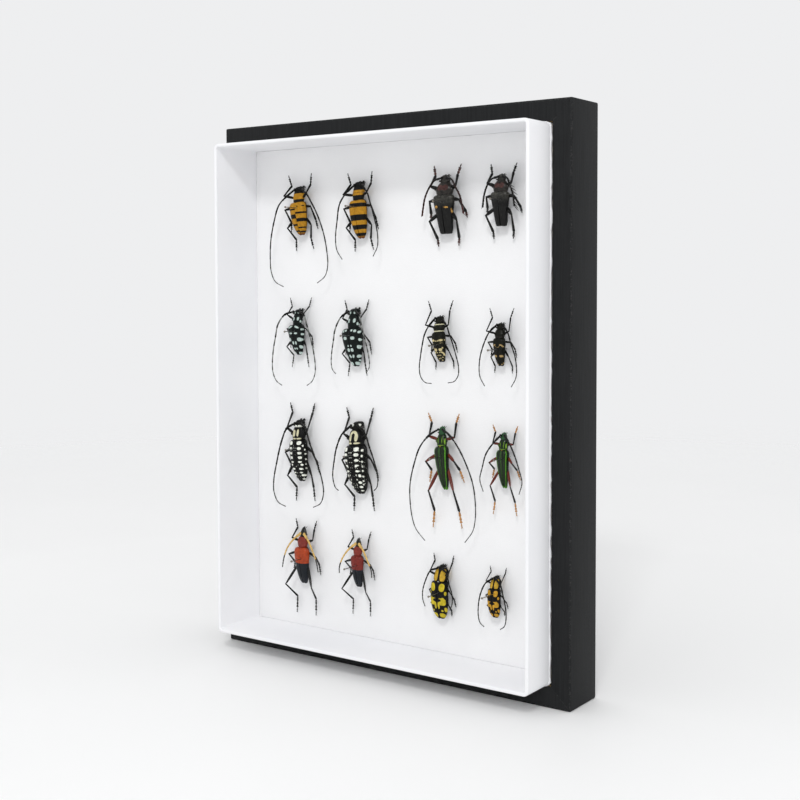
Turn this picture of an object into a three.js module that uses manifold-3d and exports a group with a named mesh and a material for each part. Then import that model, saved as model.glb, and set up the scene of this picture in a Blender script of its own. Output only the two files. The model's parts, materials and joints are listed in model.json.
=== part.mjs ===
// A beetle specimen box: a black covered case, a white tray that stands in it, a foam floor in
// the tray, and sixteen longhorn beetles in eight pairs, each held over the foam by a steel pin.
// Millimetres, +Z up. The box stands on its short side and its open front faces -Y.

import * as THREE from 'three';
import { mergeVertices } from 'three/addons/utils/BufferGeometryUtils.js';
import Module from 'manifold-3d';

const wasm = await Module();
wasm.setup();

// Driving dimensions of the box
const CASE_WIDTH = 229;
const CASE_HEIGHT = 305;
const CASE_DEPTH = 28;
const CASE_BACK = 3;
const CASE_CORNER = 0.8;
const RIM_WIDTH = 11.1;
const TRAY_PROUD = 22.8;
const TRAY_WALL = 2;
const TRAY_CORNER = 3;
const FOAM_SINK = 34.4;
const FOAM_CORNER = 1;
const EDGE_ROUND = 0.5;
const CORNER_STEPS = 2;
const FIT_GAP = 0.3;

// Driving dimensions of the pins and of the beetles on them
const PIN_RADIUS = 0.25;
const PIN_HEAD_RADIUS = 0.6;
const PIN_POINT = 1.5;
const PIN_IN_FOAM = 10.5;
const BORE_RADIUS = 0.8;
const BORE_SIDES = 4;
const PIN_SIDES = 4;
const BODY_LIFT = 5.7;
const BODY_DROOP = 1.1;
const LEAST_LIFT = 0.9;
const FORELEG_UPRIGHT = 0.6;
const HIP_SHARE = 0.22;
const HIP_DROP = 1.4;
const PIN_SHARE = 0.13;
const ANTENNA_SPANS = 6;
const BODY_SIDES = 7;
const LEG_SIDES = 3;
const ANTENNA_SIDES = 3;

// Sizes that follow from those
const TOTAL_DEPTH = TRAY_PROUD + CASE_DEPTH;
const BACK_Y = TOTAL_DEPTH / 2;
const FRONT_Y = -TOTAL_DEPTH / 2;
const CAVITY_WIDTH = CASE_WIDTH - 2 * RIM_WIDTH;
const CAVITY_HEIGHT = CASE_HEIGHT - 2 * RIM_WIDTH;
const CAVITY_DEPTH = CASE_DEPTH - CASE_BACK;
const TRAY_WIDTH = CAVITY_WIDTH - 2 * FIT_GAP;
const TRAY_HEIGHT = CAVITY_HEIGHT - 2 * FIT_GAP;
const TRAY_BACK_Y = BACK_Y - CASE_BACK - FIT_GAP;
const TRAY_DEPTH = TRAY_BACK_Y - FRONT_Y;
const FOAM_WIDTH = TRAY_WIDTH - 2 * (TRAY_WALL + FIT_GAP);
const FOAM_HEIGHT = TRAY_HEIGHT - 2 * (TRAY_WALL + FIT_GAP);
const FOAM_FRONT_Y = FRONT_Y + FOAM_SINK;
const FOAM_BACK_Y = TRAY_BACK_Y - TRAY_WALL - FIT_GAP;
const MIDDLE_HEIGHT = CASE_HEIGHT / 2;

// The eight kinds of beetle, each with its measures at the left specimen's size.
// body: [along, half width] from tail to head, measured from the middle of the body.
// domed and keeled: height over and depth under the middle, as shares of the half width.
// thigh: thickness of a leg. feeler: half thickness of an antenna at its root and at its tip.
// feelerRise: how far an antenna rises over the middle of the body.
// hips: how far along the fore, middle and hind legs start.
// legs: knee, ankle and toe of the fore, middle and hind leg as [across, along, up].
const KINDS = {
  banded_longhorn: {
    colour: 0xb98a2a,
    length: 27.8,
    width: 11.2,
    domed: 0.7,
    keeled: 0.6,
    thigh: 0.65,
    feeler: [0.5, 0.23],
    feelerRise: 3.6,
    body: [
      [-13.9, 1.6], [-12.2, 3.6], [-7.5, 5.1], [3.6, 5.6], [4.9, 4.8], [5.4, 3.6], [8, 4.1],
      [11.8, 3.6], [13.9, 2.8],
    ],
    hips: [7.5, 2.6, -2.5],
    legs: [
      [[8, 9, 3.3], [7, 14.8, -2.7], [8.4, 20.8, -1.9]],
      [[9.5, 1.6, 1], [9, -5.8, -3.6], [9.9, -11, -3.8]],
      [[8.8, -9, 0.7], [5.4, -16, -2.5], [6.4, -22, -3]],
    ],
  },
  saw_horned_longhorn: {
    colour: 0x23201f,
    length: 31.5,
    width: 13.6,
    domed: 0.55,
    keeled: 0.5,
    thigh: 0.85,
    feeler: [0.5, 0.5],
    feelerRise: 2.3,
    body: [
      [-15.7, 3.2], [-4, 5.2], [3.4, 6.8], [4.7, 6.1], [5.3, 4.8], [9.2, 5.3], [11.4, 3],
      [13.6, 2.9], [15.7, 1.8],
    ],
    hips: [8, 2.8, -3.5],
    legs: [
      [[8, 9.7, 1.4], [7, 15.4, -2.2], [8.5, 20.7, -3.2]],
      [[9.2, 2, 0.5], [11, -4.3, -3.5], [11.5, -7.3, -3.8]],
      [[8.5, -8.7, 2], [6.8, -18, -3], [6.4, -21.9, -3]],
    ],
  },
  blue_spotted_longhorn: {
    colour: 0x1d2424,
    length: 26.5,
    width: 11.2,
    domed: 0.72,
    keeled: 0.6,
    thigh: 0.5,
    feeler: [0.5, 0.24],
    feelerRise: 4.2,
    body: [
      [-13.2, 1.5], [-12, 2.9], [-6, 4.6], [2, 5.6], [4.2, 4.7], [4.8, 3.5], [7, 4],
      [11, 3.5], [13.2, 2.3],
    ],
    hips: [7, 2.2, -2],
    legs: [
      [[5.8, 10.2, 1.5], [6.4, 14.9, -3.8], [7.9, 19.7, -4]],
      [[7, 2.2, 0.5], [8, -2.9, -3.8], [8.5, -8.9, -4]],
      [[7.2, -8.2, 1], [5, -13.4, -2.5], [6.2, -19.9, -2]],
    ],
  },
  speckled_longhorn: {
    colour: 0x34312a,
    length: 24.7,
    width: 8.4,
    domed: 0.75,
    keeled: 0.65,
    thigh: 0.5,
    feeler: [0.46, 0.22],
    feelerRise: 2.3,
    body: [
      [-12.3, 1.6], [-6, 3.4], [2.6, 4.2], [3.7, 3.6], [4.2, 3], [6, 3.6], [8.6, 2.8],
      [10.5, 2.9], [12.3, 1.9],
    ],
    hips: [6, 1.8, -2],
    legs: [
      [[7.3, 7.7, 2], [5.9, 15.2, -2], [7.8, 20.3, -2.3]],
      [[7.5, 1.4, 0], [7.5, -2.9, -4], [8.4, -7.4, -4]],
      [[5.8, -6.9, 0], [5.6, -12.4, -4], [5.8, -16, -3.5]],
    ],
  },
  pearl_spotted_longhorn: {
    colour: 0x24251f,
    length: 35.7,
    width: 12.4,
    domed: 0.72,
    keeled: 0.6,
    thigh: 0.7,
    feeler: [0.58, 0.26],
    feelerRise: 3,
    body: [
      [-17.8, 1.6], [-16.6, 3.4], [-10, 5.2], [4.6, 6.2], [6.3, 5.3], [7, 4.1], [9, 4.7],
      [14.6, 4], [17.8, 2.4],
    ],
    hips: [9, 3.6, -3],
    legs: [
      [[7.8, 13.3, 1], [7.5, 22, -4.2], [9.1, 27.3, -4.3]],
      [[10, -0.7, 0.5], [10, -7.7, -4], [10.6, -12.7, -4]],
      [[9, -14.2, 1], [6.3, -21.5, -3.5], [7, -29, -3]],
    ],
  },
  green_longhorn: {
    colour: 0x2f5a22,
    length: 34,
    width: 9,
    domed: 0.72,
    keeled: 0.68,
    thigh: 0.75,
    feeler: [0.5, 0.22],
    feelerRise: 2.8,
    body: [
      [-17, 1.2], [-16, 2], [-6, 3.5], [5, 4.5], [6.5, 3.8], [7, 3.2], [9.5, 3.8],
      [12.6, 2.5], [17, 1.6],
    ],
    hips: [10, 3.4, -3.5],
    legs: [
      [[8.1, 11.7, 0], [7.8, 19, -2.6], [9.8, 23.8, -2.5]],
      [[9, -1.2, 2.6], [9, -6.3, -2.5], [11, -12.7, -3]],
      [[7.9, -16.8, 3.4], [7.9, -28.1, -1.2], [9.2, -36.8, -0.8]],
    ],
  },
  red_shouldered_longhorn: {
    colour: 0x8a3a1c,
    length: 33,
    width: 10.6,
    domed: 0.62,
    keeled: 0.55,
    thigh: 0.62,
    feeler: [0.6, 0.3],
    feelerRise: 2.3,
    body: [
      [-16.5, 1.6], [-15.4, 2.8], [-7, 4.3], [3.6, 5.3], [4.8, 4.2], [5.4, 2.8], [8, 3.7],
      [10.8, 2.4], [12.8, 2.7], [16.5, 0.5],
    ],
    hips: [8, 2.6, -3],
    legs: [
      [[7.7, 9.7, 0], [6.2, 15.4, -3.5], [7.7, 20.2, -3.8]],
      [[10.2, -0.1, 0], [9.1, -5.3, -4.2], [10, -10.8, -4.2]],
      [[9.6, -17, 4], [6.9, -25.2, -3.5], [7.1, -34.3, -3]],
    ],
  },
  yellow_patched_longhorn: {
    colour: 0xa98a1e,
    length: 28.8,
    width: 10.4,
    domed: 0.75,
    keeled: 0.62,
    thigh: 0.5,
    feeler: [0.45, 0.24],
    feelerRise: 2.3,
    body: [
      [-14.4, 1.4], [-13.3, 3], [-9, 4.6], [5, 5.2], [6.1, 4.6], [6.6, 4.1], [9, 4.6],
      [12.4, 3.5], [14.4, 1.4],
    ],
    hips: [9, 3.2, -2],
    legs: [
      [[6, 11, 0.5], [5.6, 16.2, -4.2], [6.4, 19.9, -4.2]],
      [[6.6, 1, 0], [7, -4, -3.8], [7.8, -7.5, -4]],
      [[5.6, -6, 0], [5.2, -10, -3.8], [5, -12.8, -4]],
    ],
  },
};

// The sixteen specimens. at: the middle of the body, across from the box's middle and up from its
// foot. lean: how far the head leans to the left, in degrees. legs: size of the legs against the
// kind's own. pin: how far along the body the pin goes in, and how high over the foam its head is.
// feelers: the course of one antenna from the head back, as [across, along]; the other mirrors it.
const SPECIMENS = [
  {
    kind: 'banded_longhorn', side: 'left', at: [-63.7, 255.3], lean: 4.8,
    length: 27.8, width: 11.2, legs: 1, pin: [1.5, 20],
    feelers: [[2, 12.6], [8, 8.5], [11.7, 4.5], [16, -4], [19.6, -15], [21, -25], [21, -33],
      [18.5, -39], [12.5, -42.5]],
  },
  {
    kind: 'banded_longhorn', side: 'right', at: [-20.8, 254.3], lean: 3.8,
    length: 31.5, width: 11.2, legs: 1, pin: [1.7, 20],
    feelers: [[2, 14.2], [7.5, 9.5], [10.5, 4], [12.6, -4], [14.5, -14], [14.1, -21], [10.7, -26.5]],
  },
  {
    kind: 'saw_horned_longhorn', side: 'left', at: [36.1, 255.6], lean: 1.5,
    length: 31.5, width: 13.6, legs: 1, pin: [1, 20],
    feelers: [[1.6, 14], [5.5, 12.7], [8, 9.2], [11, 3.7], [12.4, -2.3], [13, -5.6]],
  },
  {
    kind: 'saw_horned_longhorn', side: 'right', at: [70.4, 256.6], lean: 0,
    length: 27, width: 11.4, legs: 0.9, pin: [0, 19],
    feelers: [[1.4, 12], [4.6, 10.9], [6.4, 8], [8.4, 3], [9.4, -3.6]],
  },
  {
    kind: 'blue_spotted_longhorn', side: 'left', at: [-65.7, 185.6], lean: 2.2,
    length: 26.5, width: 11.2, legs: 1, pin: [0.8, 19],
    feelers: [[2, 12], [7, 10.4], [10.6, 5], [12.8, -2], [14.9, -10], [16, -18], [15.6, -24],
      [9.3, -30.4]],
  },
  {
    kind: 'blue_spotted_longhorn', side: 'right', at: [-24.9, 183.5], lean: 3.6,
    length: 32.5, width: 13.6, legs: 1.06, pin: [1.5, 20],
    feelers: [[2.4, 14.8], [6.6, 11.6], [9.4, 5], [11, -1], [12.7, -8], [13.4, -13.7], [10.6, -19.7]],
  },
  {
    kind: 'speckled_longhorn', side: 'left', at: [32.6, 184.1], lean: 4.3,
    length: 24.7, width: 8.2, legs: 1, pin: [-3, 18],
    feelers: [[1.7, 11.4], [6, 6.8], [7.9, 2.7], [9.3, -1.3], [11.2, -8.3], [12.5, -15], [11.8, -20.5],
      [5.2, -23.3]],
  },
  {
    kind: 'speckled_longhorn', side: 'right', at: [69.9, 182.2], lean: 0.8,
    length: 22.4, width: 7.2, legs: 0.92, pin: [-2.2, 19.5],
    feelers: [[1.5, 10.3], [5.4, 6.6], [8, 0.8], [10.4, -6], [11.2, -13], [10.6, -17], [7.9, -21.5]],
  },
  {
    kind: 'pearl_spotted_longhorn', side: 'left', at: [-64.7, 116.9], lean: 4.2,
    length: 35.7, width: 12.4, legs: 1, pin: [2, 20],
    feelers: [[2, 16], [7, 13.3], [10.4, 5.8], [15.5, -7.7], [18, -16], [18.6, -23.5], [16, -29.5],
      [10.3, -32.1]],
  },
  {
    kind: 'pearl_spotted_longhorn', side: 'right', at: [-22.8, 115.9], lean: 5.2,
    length: 40.7, width: 13.8, legs: 1.02, pin: [2.5, 20.5],
    feelers: [[2.4, 18.4], [8, 14], [11.6, 6.4], [14, -1], [15.8, -9], [15.4, -14], [12.4, -17.7]],
  },
  {
    kind: 'green_longhorn', side: 'left', at: [34.4, 120.3], lean: 4.3,
    length: 34, width: 9, legs: 1, pin: [1.3, 20],
    feelers: [[1.4, 15.6], [5.8, 13.2], [11.8, 7], [16.6, -2.6], [20, -13], [20.8, -22], [20.2, -31],
      [18.2, -37.6], [12.7, -44]],
  },
  {
    kind: 'green_longhorn', side: 'right', at: [72, 122.1], lean: 1.4,
    length: 29, width: 7.7, legs: 0.76, pin: [1.6, 17],
    feelers: [[1.2, 13.2], [5, 9], [8.6, 3.4], [11, -3.8], [12.6, -10], [10.7, -16.3]],
  },
  {
    kind: 'red_shouldered_longhorn', side: 'left', at: [-62.7, 56], lean: 0.6,
    length: 33, width: 10.6, legs: 1, pin: [-1.2, 18],
    feelers: [[1.5, 12.6], [5.5, 9.2], [9.4, 4], [12.2, -2.3], [13.4, -7.8]],
  },
  {
    kind: 'red_shouldered_longhorn', side: 'right', at: [-22.6, 56.8], lean: 0.8,
    length: 27.8, width: 8.7, legs: 0.87, pin: [-0.9, 20],
    feelers: [[1.3, 10.6], [4.8, 7.8], [8.4, 3], [11.2, -3], [11.4, -6.6]],
  },
  {
    kind: 'yellow_patched_longhorn', side: 'left', at: [32.6, 47.7], lean: 0.6,
    length: 28.8, width: 10.4, legs: 1, pin: [0.6, 19],
    feelers: [[1.6, 13], [5, 11.6], [7.6, 6], [9.4, 0.4], [9.4, -4.4], [8, -8]],
  },
  {
    kind: 'yellow_patched_longhorn', side: 'right', at: [66.7, 49.9], lean: 0.5,
    length: 21.7, width: 7.3, legs: 0.77, pin: [2.6, 20],
    feelers: [[1.2, 9.8], [4.6, 7.2], [6.8, 2], [8.2, -4], [8.4, -10], [4.9, -15.6]],
  },
];

// Joining and cutting closed meshes

function solidOf(geometry) {
  const bare = geometry.clone();
  bare.deleteAttribute('normal');
  bare.deleteAttribute('uv');
  const merged = mergeVertices(bare, 1e-4);
  return new wasm.Manifold(new wasm.Mesh({
    numProp: 3,
    vertProperties: new Float32Array(merged.attributes.position.array),
    triVerts: new Uint32Array(merged.index.array),
  }));
}

function geometryOf(solid) {
  const mesh = solid.getMesh();
  const geometry = new THREE.BufferGeometry();
  geometry.setAttribute('position', new THREE.BufferAttribute(mesh.vertProperties, 3));
  geometry.setIndex(new THREE.BufferAttribute(mesh.triVerts, 1));
  geometry.computeVertexNormals();
  return geometry;
}

function namedMesh(name, geometry, colour, roughness, metalness) {
  const material = new THREE.MeshStandardMaterial({ color: colour, roughness, metalness });
  const mesh = new THREE.Mesh(geometry, material);
  mesh.name = name;
  return mesh;
}

// The box

function roundedRectangle(width, height, corner) {
  const right = width / 2;
  const top = height / 2;
  const shape = new THREE.Shape();
  shape.absarc(right - corner, top - corner, corner, 0, Math.PI / 2, false);
  shape.absarc(corner - right, top - corner, corner, Math.PI / 2, Math.PI, false);
  shape.absarc(corner - right, corner - top, corner, Math.PI, 1.5 * Math.PI, false);
  shape.absarc(right - corner, corner - top, corner, 1.5 * Math.PI, 2 * Math.PI, false);
  shape.closePath();
  return shape;
}

// An upright slab whose outline is drawn across the box and whose back lies at backY
function uprightSlab(shape, depth, backY, edgeRound) {
  const geometry = new THREE.ExtrudeGeometry(shape, {
    depth: depth - 2 * edgeRound,
    curveSegments: CORNER_STEPS,
    bevelEnabled: edgeRound > 0,
    bevelThickness: edgeRound,
    bevelSize: edgeRound,
    bevelOffset: -edgeRound,
    bevelSegments: 1,
  });
  geometry.rotateX(Math.PI / 2);
  geometry.translate(0, backY - edgeRound, MIDDLE_HEIGHT);
  return geometry;
}

function caseMesh() {
  const outer = roundedRectangle(CASE_WIDTH, CASE_HEIGHT, CASE_CORNER);
  const block = solidOf(uprightSlab(outer, CASE_DEPTH, BACK_Y, EDGE_ROUND));
  const cutDepth = CAVITY_DEPTH + 1;
  const cavity = new THREE.BoxGeometry(CAVITY_WIDTH, cutDepth, CAVITY_HEIGHT);
  cavity.translate(0, BACK_Y - CASE_BACK - cutDepth / 2, MIDDLE_HEIGHT);
  return namedMesh('case', geometryOf(block.subtract(solidOf(cavity))), 0x2b2c2b, 0.8, 0);
}

function trayMesh() {
  const outer = roundedRectangle(TRAY_WIDTH, TRAY_HEIGHT, TRAY_CORNER);
  const block = solidOf(uprightSlab(outer, TRAY_DEPTH, TRAY_BACK_Y, EDGE_ROUND));
  const innerWidth = TRAY_WIDTH - 2 * TRAY_WALL;
  const innerHeight = TRAY_HEIGHT - 2 * TRAY_WALL;
  const inner = roundedRectangle(innerWidth, innerHeight, TRAY_CORNER - TRAY_WALL);
  const hollow = solidOf(uprightSlab(inner, TRAY_DEPTH, TRAY_BACK_Y - TRAY_WALL, 0));
  return namedMesh('tray', geometryOf(block.subtract(hollow)), 0xf1f1f3, 0.85, 0);
}

// The foam is drawn with a hole for every pin
function foamMesh() {
  const shape = roundedRectangle(FOAM_WIDTH, FOAM_HEIGHT, FOAM_CORNER);
  for (const specimen of SPECIMENS) {
    const place = pinPlace(specimen);
    const hole = new THREE.Path();
    for (let side = 0; side < BORE_SIDES; side += 1) {
      const angle = (2 * Math.PI * side) / BORE_SIDES;
      const across = place.x + BORE_RADIUS * Math.cos(angle);
      const up = place.y - MIDDLE_HEIGHT + BORE_RADIUS * Math.sin(angle);
      if (side === 0) {
        hole.moveTo(across, up);
      } else {
        hole.lineTo(across, up);
      }
    }
    hole.closePath();
    shape.holes.push(hole);
  }
  const sheet = uprightSlab(shape, FOAM_BACK_Y - FOAM_FRONT_Y, FOAM_BACK_Y, 0);
  return namedMesh('foam_floor', sheet, 0xf6f6f7, 0.95, 0);
}

// Beetles, drawn lying on their bellies: X across, Y along towards the head, Z up off the foam

// A closed tube through rings, each with its middle, heading, half width, rise and drop
function tubeThrough(rings, sides) {
  const spans = rings.length - 1;
  const geometry = new THREE.CylinderGeometry(1, 1, spans, sides, spans);
  const places = geometry.attributes.position;
  const upward = new THREE.Vector3(0, 0, 1);
  for (let index = 0; index < places.count; index += 1) {
    const ring = rings[Math.round(spans / 2 - places.getY(index))];
    const across = new THREE.Vector3().crossVectors(upward, ring.heading).normalize();
    const over = new THREE.Vector3().crossVectors(ring.heading, across).normalize();
    const height = places.getZ(index);
    const place = ring.middle.clone();
    place.addScaledVector(across, places.getX(index) * ring.half);
    place.addScaledVector(over, height * (height > 0 ? ring.rise : ring.drop));
    places.setXYZ(index, place.x, place.y, place.z);
  }
  return geometry;
}

// A limb of changing thickness through a list of points
function limbThrough(points, radii, sides) {
  const rings = points.map((middle, index) => {
    const before = points[Math.max(index - 1, 0)];
    const after = points[Math.min(index + 1, points.length - 1)];
    const heading = new THREE.Vector3().subVectors(after, before).normalize();
    return { middle, heading, half: radii[index], rise: radii[index], drop: radii[index] };
  });
  return tubeThrough(rings, sides);
}

// Head and tail hang a little lower than the middle of the back
function bodyDroop(along, length) {
  const share = along / (length / 2);
  return -BODY_DROOP * share * share;
}

function bodyGeometry(specimen, kind) {
  const stretch = specimen.length / kind.length;
  const spread = specimen.width / kind.width;
  const heading = new THREE.Vector3(0, 1, 0);
  const rings = kind.body.map(([along, half]) => {
    const lift = BODY_LIFT + bodyDroop(along * stretch, specimen.length);
    return {
      middle: new THREE.Vector3(0, along * stretch, lift),
      heading,
      half: half * spread,
      rise: half * spread * kind.domed,
      drop: half * spread * kind.keeled,
    };
  });
  return tubeThrough(rings, BODY_SIDES);
}

function legGeometry(specimen, kind, pair, mirror) {
  const stretch = specimen.length / kind.length;
  const turnBack = pair === 0 ? -FORELEG_UPRIGHT * THREE.MathUtils.degToRad(specimen.lean) : 0;
  const [knee, ankle, toe] = kind.legs[pair].map(([across, along, up]) => {
    const joint = new THREE.Vector3(mirror * across * specimen.legs, along * specimen.legs, 0);
    joint.applyAxisAngle(new THREE.Vector3(0, 0, 1), turnBack);
    joint.z = Math.max(BODY_LIFT + up, LEAST_LIFT);
    return joint;
  });
  const hipAcross = mirror * HIP_SHARE * specimen.width;
  const hip = new THREE.Vector3(hipAcross, kind.hips[pair] * stretch, BODY_LIFT - HIP_DROP);
  const thick = kind.thigh * specimen.legs;
  const radii = [1.25 * thick, 0.85 * thick, 0.7 * thick, 0.5 * thick];
  return limbThrough([hip, knee, ankle, toe], radii, LEG_SIDES);
}

function antennaGeometry(specimen, kind, mirror) {
  const course = specimen.feelers.map(([across, along], index) => {
    const rise = Math.min(index / 2, 1) * kind.feelerRise;
    return new THREE.Vector3(mirror * across, along, BODY_LIFT + rise);
  });
  const curve = new THREE.CatmullRomCurve3(course);
  const spans = Math.min(specimen.feelers.length - 1, ANTENNA_SPANS);
  const points = curve.getPoints(spans);
  const radii = points.map((point, index) => {
    return THREE.MathUtils.lerp(kind.feeler[0], kind.feeler[1], index / spans);
  });
  return limbThrough(points, radii, ANTENNA_SIDES);
}

// Where the pin goes through the right wing case, across and along the beetle
function pinOnBody(specimen) {
  return new THREE.Vector2(PIN_SHARE * specimen.width, specimen.pin[0]);
}

// The same place in the box, across from its middle and up from its foot
function pinPlace(specimen) {
  const turned = pinOnBody(specimen).rotateAround(
    new THREE.Vector2(0, 0),
    THREE.MathUtils.degToRad(specimen.lean),
  );
  return turned.add(new THREE.Vector2(...specimen.at));
}

function beetleMesh(specimen) {
  const kind = KINDS[specimen.kind];
  let solid = solidOf(bodyGeometry(specimen, kind));
  for (const mirror of [-1, 1]) {
    for (let pair = 0; pair < kind.legs.length; pair += 1) {
      solid = solid.add(solidOf(legGeometry(specimen, kind, pair, mirror)));
    }
    solid = solid.add(solidOf(antennaGeometry(specimen, kind, mirror)));
  }
  const hole = pinOnBody(specimen);
  const bore = new THREE.CylinderGeometry(BORE_RADIUS, BORE_RADIUS, 4 * BODY_LIFT, BORE_SIDES);
  bore.rotateX(Math.PI / 2);
  bore.translate(hole.x, hole.y, BODY_LIFT);
  solid = solid.subtract(solidOf(bore));
  const name = `${specimen.kind}_${specimen.side}`;
  return namedMesh(name, geometryOf(solid), kind.colour, 0.45, 0);
}

function pinMesh(specimen) {
  const head = specimen.pin[1];
  const neck = head - 2 * PIN_HEAD_RADIUS;
  const outline = [
    [0, -PIN_IN_FOAM],
    [PIN_RADIUS, PIN_POINT - PIN_IN_FOAM],
    [PIN_RADIUS, neck],
    [PIN_HEAD_RADIUS, neck + PIN_HEAD_RADIUS],
    [0, head],
  ];
  const points = outline.map(([radius, height]) => new THREE.Vector2(radius, height));
  const geometry = new THREE.LatheGeometry(points, PIN_SIDES);
  geometry.rotateX(Math.PI / 2);
  const place = pinOnBody(specimen);
  geometry.translate(place.x, place.y, 0);
  const name = `${specimen.kind}_${specimen.side}_pin`;
  return namedMesh(name, geometry, 0xb9bcbf, 0.35, 0.9);
}

// A specimen is turned so that its back faces the front of the box and its head points up
function specimenGroup(specimen) {
  const group = new THREE.Group();
  group.add(beetleMesh(specimen), pinMesh(specimen));
  group.rotation.set(Math.PI / 2, 0, THREE.MathUtils.degToRad(specimen.lean));
  group.position.set(specimen.at[0], FOAM_FRONT_Y, specimen.at[1]);
  return group;
}

const box = new THREE.Group();
box.add(caseMesh(), trayMesh(), foamMesh());
for (const specimen of SPECIMENS) {
  box.add(specimenGroup(specimen));
}

export default box;
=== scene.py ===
# %% [markdown]
# A beetle specimen box
# The real thing is a shallow board case, covered in black paper, that stands on its edge. A white
# card tray fills it and stands proud of it, a foam sheet lies in the tray, and sixteen longhorn
# beetles are pinned on the foam. The imported frame gives every size and place, so the lesson starts
# by loading it.

# %% Load the imported frame
import json
import math

import bmesh
import bpy
import numpy as np
from mathutils import Matrix, Vector

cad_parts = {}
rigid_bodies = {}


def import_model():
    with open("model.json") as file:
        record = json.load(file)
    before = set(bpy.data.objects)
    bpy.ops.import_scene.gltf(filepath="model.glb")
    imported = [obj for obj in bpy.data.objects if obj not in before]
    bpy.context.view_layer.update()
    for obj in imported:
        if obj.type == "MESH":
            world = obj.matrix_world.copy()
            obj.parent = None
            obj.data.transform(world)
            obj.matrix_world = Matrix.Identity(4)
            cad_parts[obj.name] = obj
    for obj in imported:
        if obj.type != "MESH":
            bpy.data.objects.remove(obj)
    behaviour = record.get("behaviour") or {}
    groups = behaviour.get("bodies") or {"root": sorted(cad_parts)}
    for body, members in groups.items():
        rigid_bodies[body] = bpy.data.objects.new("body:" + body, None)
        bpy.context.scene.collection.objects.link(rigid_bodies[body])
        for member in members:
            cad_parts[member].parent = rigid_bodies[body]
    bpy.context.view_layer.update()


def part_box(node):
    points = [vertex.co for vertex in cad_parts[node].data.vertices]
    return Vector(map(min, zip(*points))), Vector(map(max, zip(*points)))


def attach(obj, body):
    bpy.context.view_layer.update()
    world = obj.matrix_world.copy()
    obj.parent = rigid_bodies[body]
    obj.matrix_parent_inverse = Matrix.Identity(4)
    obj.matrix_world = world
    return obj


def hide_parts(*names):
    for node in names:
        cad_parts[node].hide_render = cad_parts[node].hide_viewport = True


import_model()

MM = 0.001

# %% [markdown]
# The camera
# A likeness is judged from one place first, so the camera comes before any piece. The photograph
# was taken from the front and to the right, a little above the middle of the box, with a lens that
# is longer than normal. A track quaternion turns the camera along its line of sight, and a small
# roll about that line levels the picture as the photograph is.

# %% Put the camera where the photograph was taken
CAMERA_PLACE = Vector((410.05, -567.86, 217.19)) * MM
CAMERA_AZIMUTH = math.radians(-35.572)
CAMERA_ELEVATION = math.radians(-2.653)
CAMERA_ROLL = math.radians(-0.174)
CAMERA_LENS = 57.862
CAMERA_SHIFT = (0.01015, -0.0790)

sight = Vector((
    math.sin(CAMERA_AZIMUTH) * math.cos(CAMERA_ELEVATION),
    math.cos(CAMERA_AZIMUTH) * math.cos(CAMERA_ELEVATION),
    math.sin(CAMERA_ELEVATION),
))
camera_data = bpy.data.cameras.new("camera")
camera_data.lens = CAMERA_LENS
camera_data.sensor_width = 36
camera_data.shift_x, camera_data.shift_y = CAMERA_SHIFT
camera_data.clip_start = 0.01
camera = bpy.data.objects.new("camera", camera_data)
camera.matrix_world = (
    Matrix.Translation(CAMERA_PLACE)
    @ sight.to_track_quat("-Z", "Y").to_matrix().to_4x4()
    @ Matrix.Rotation(CAMERA_ROLL, 4, "Z")
)
bpy.context.collection.objects.link(camera)
bpy.context.scene.camera = camera
print("camera stands", round(CAMERA_PLACE.length, 3), "m from the box's foot")

# %% [markdown]
# Nodes for the finishes
# Every finish below is a small tree of nodes round one Principled shader. Building each tree by
# hand would bury the choices under wiring, so two helpers add a node with its values and join two
# sockets. Patterns read Object coordinates, which are metres here, so a scale of 1000 makes a
# feature of about one millimetre.

# %% Helpers that build a finish
def new_finish(name, roughness=0.5):
    """An empty material with a Principled shader; gives the material, its tree and the shader."""
    finish = bpy.data.materials.new(name)
    finish.use_nodes = True
    shader = finish.node_tree.nodes["Principled BSDF"]
    shader.inputs["Roughness"].default_value = roughness
    return finish, finish.node_tree, shader


def add_node(tree, kind, values=None, **settings):
    """Adds a node, sets its options and then its unlinked sockets."""
    made = tree.nodes.new(kind)
    for option, value in settings.items():
        setattr(made, option, value)
    for socket, value in (values or {}).items():
        made.inputs[socket].default_value = value
    return made


def join(tree, source, target):
    """Links an output socket to an input socket."""
    tree.links.new(source, target)


def object_place(tree, stretch=(1, 1, 1)):
    """The Object coordinates, stretched; gives the output socket."""
    place = add_node(tree, "ShaderNodeTexCoord")
    mapping = add_node(tree, "ShaderNodeMapping", {"Scale": stretch})
    join(tree, place.outputs["Object"], mapping.inputs["Vector"])
    return mapping.outputs["Vector"]


def noise(tree, place, scale, detail=3.0):
    """A noise pattern's Fac output at a place."""
    pattern = add_node(tree, "ShaderNodeTexNoise", {"Scale": scale, "Detail": detail})
    join(tree, place, pattern.inputs["Vector"])
    return pattern.outputs["Fac"]


def ramp(tree, source, low, high, to_low=0.0, to_high=1.0):
    """Maps low..high of a value to to_low..to_high, held at the ends."""
    mapped = add_node(
        tree, "ShaderNodeMapRange",
        {"From Min": low, "From Max": high, "To Min": to_low, "To Max": to_high},
    )
    join(tree, source, mapped.inputs["Value"])
    return mapped.outputs["Result"]


def math_of(tree, operation, first, second):
    """One sum of two values, each a socket or a plain number."""
    made = add_node(tree, "ShaderNodeMath", operation=operation)
    for index, value in enumerate((first, second)):
        if isinstance(value, (int, float)):
            made.inputs[index].default_value = value
        else:
            join(tree, value, made.inputs[index])
    return made.outputs["Value"]


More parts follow.
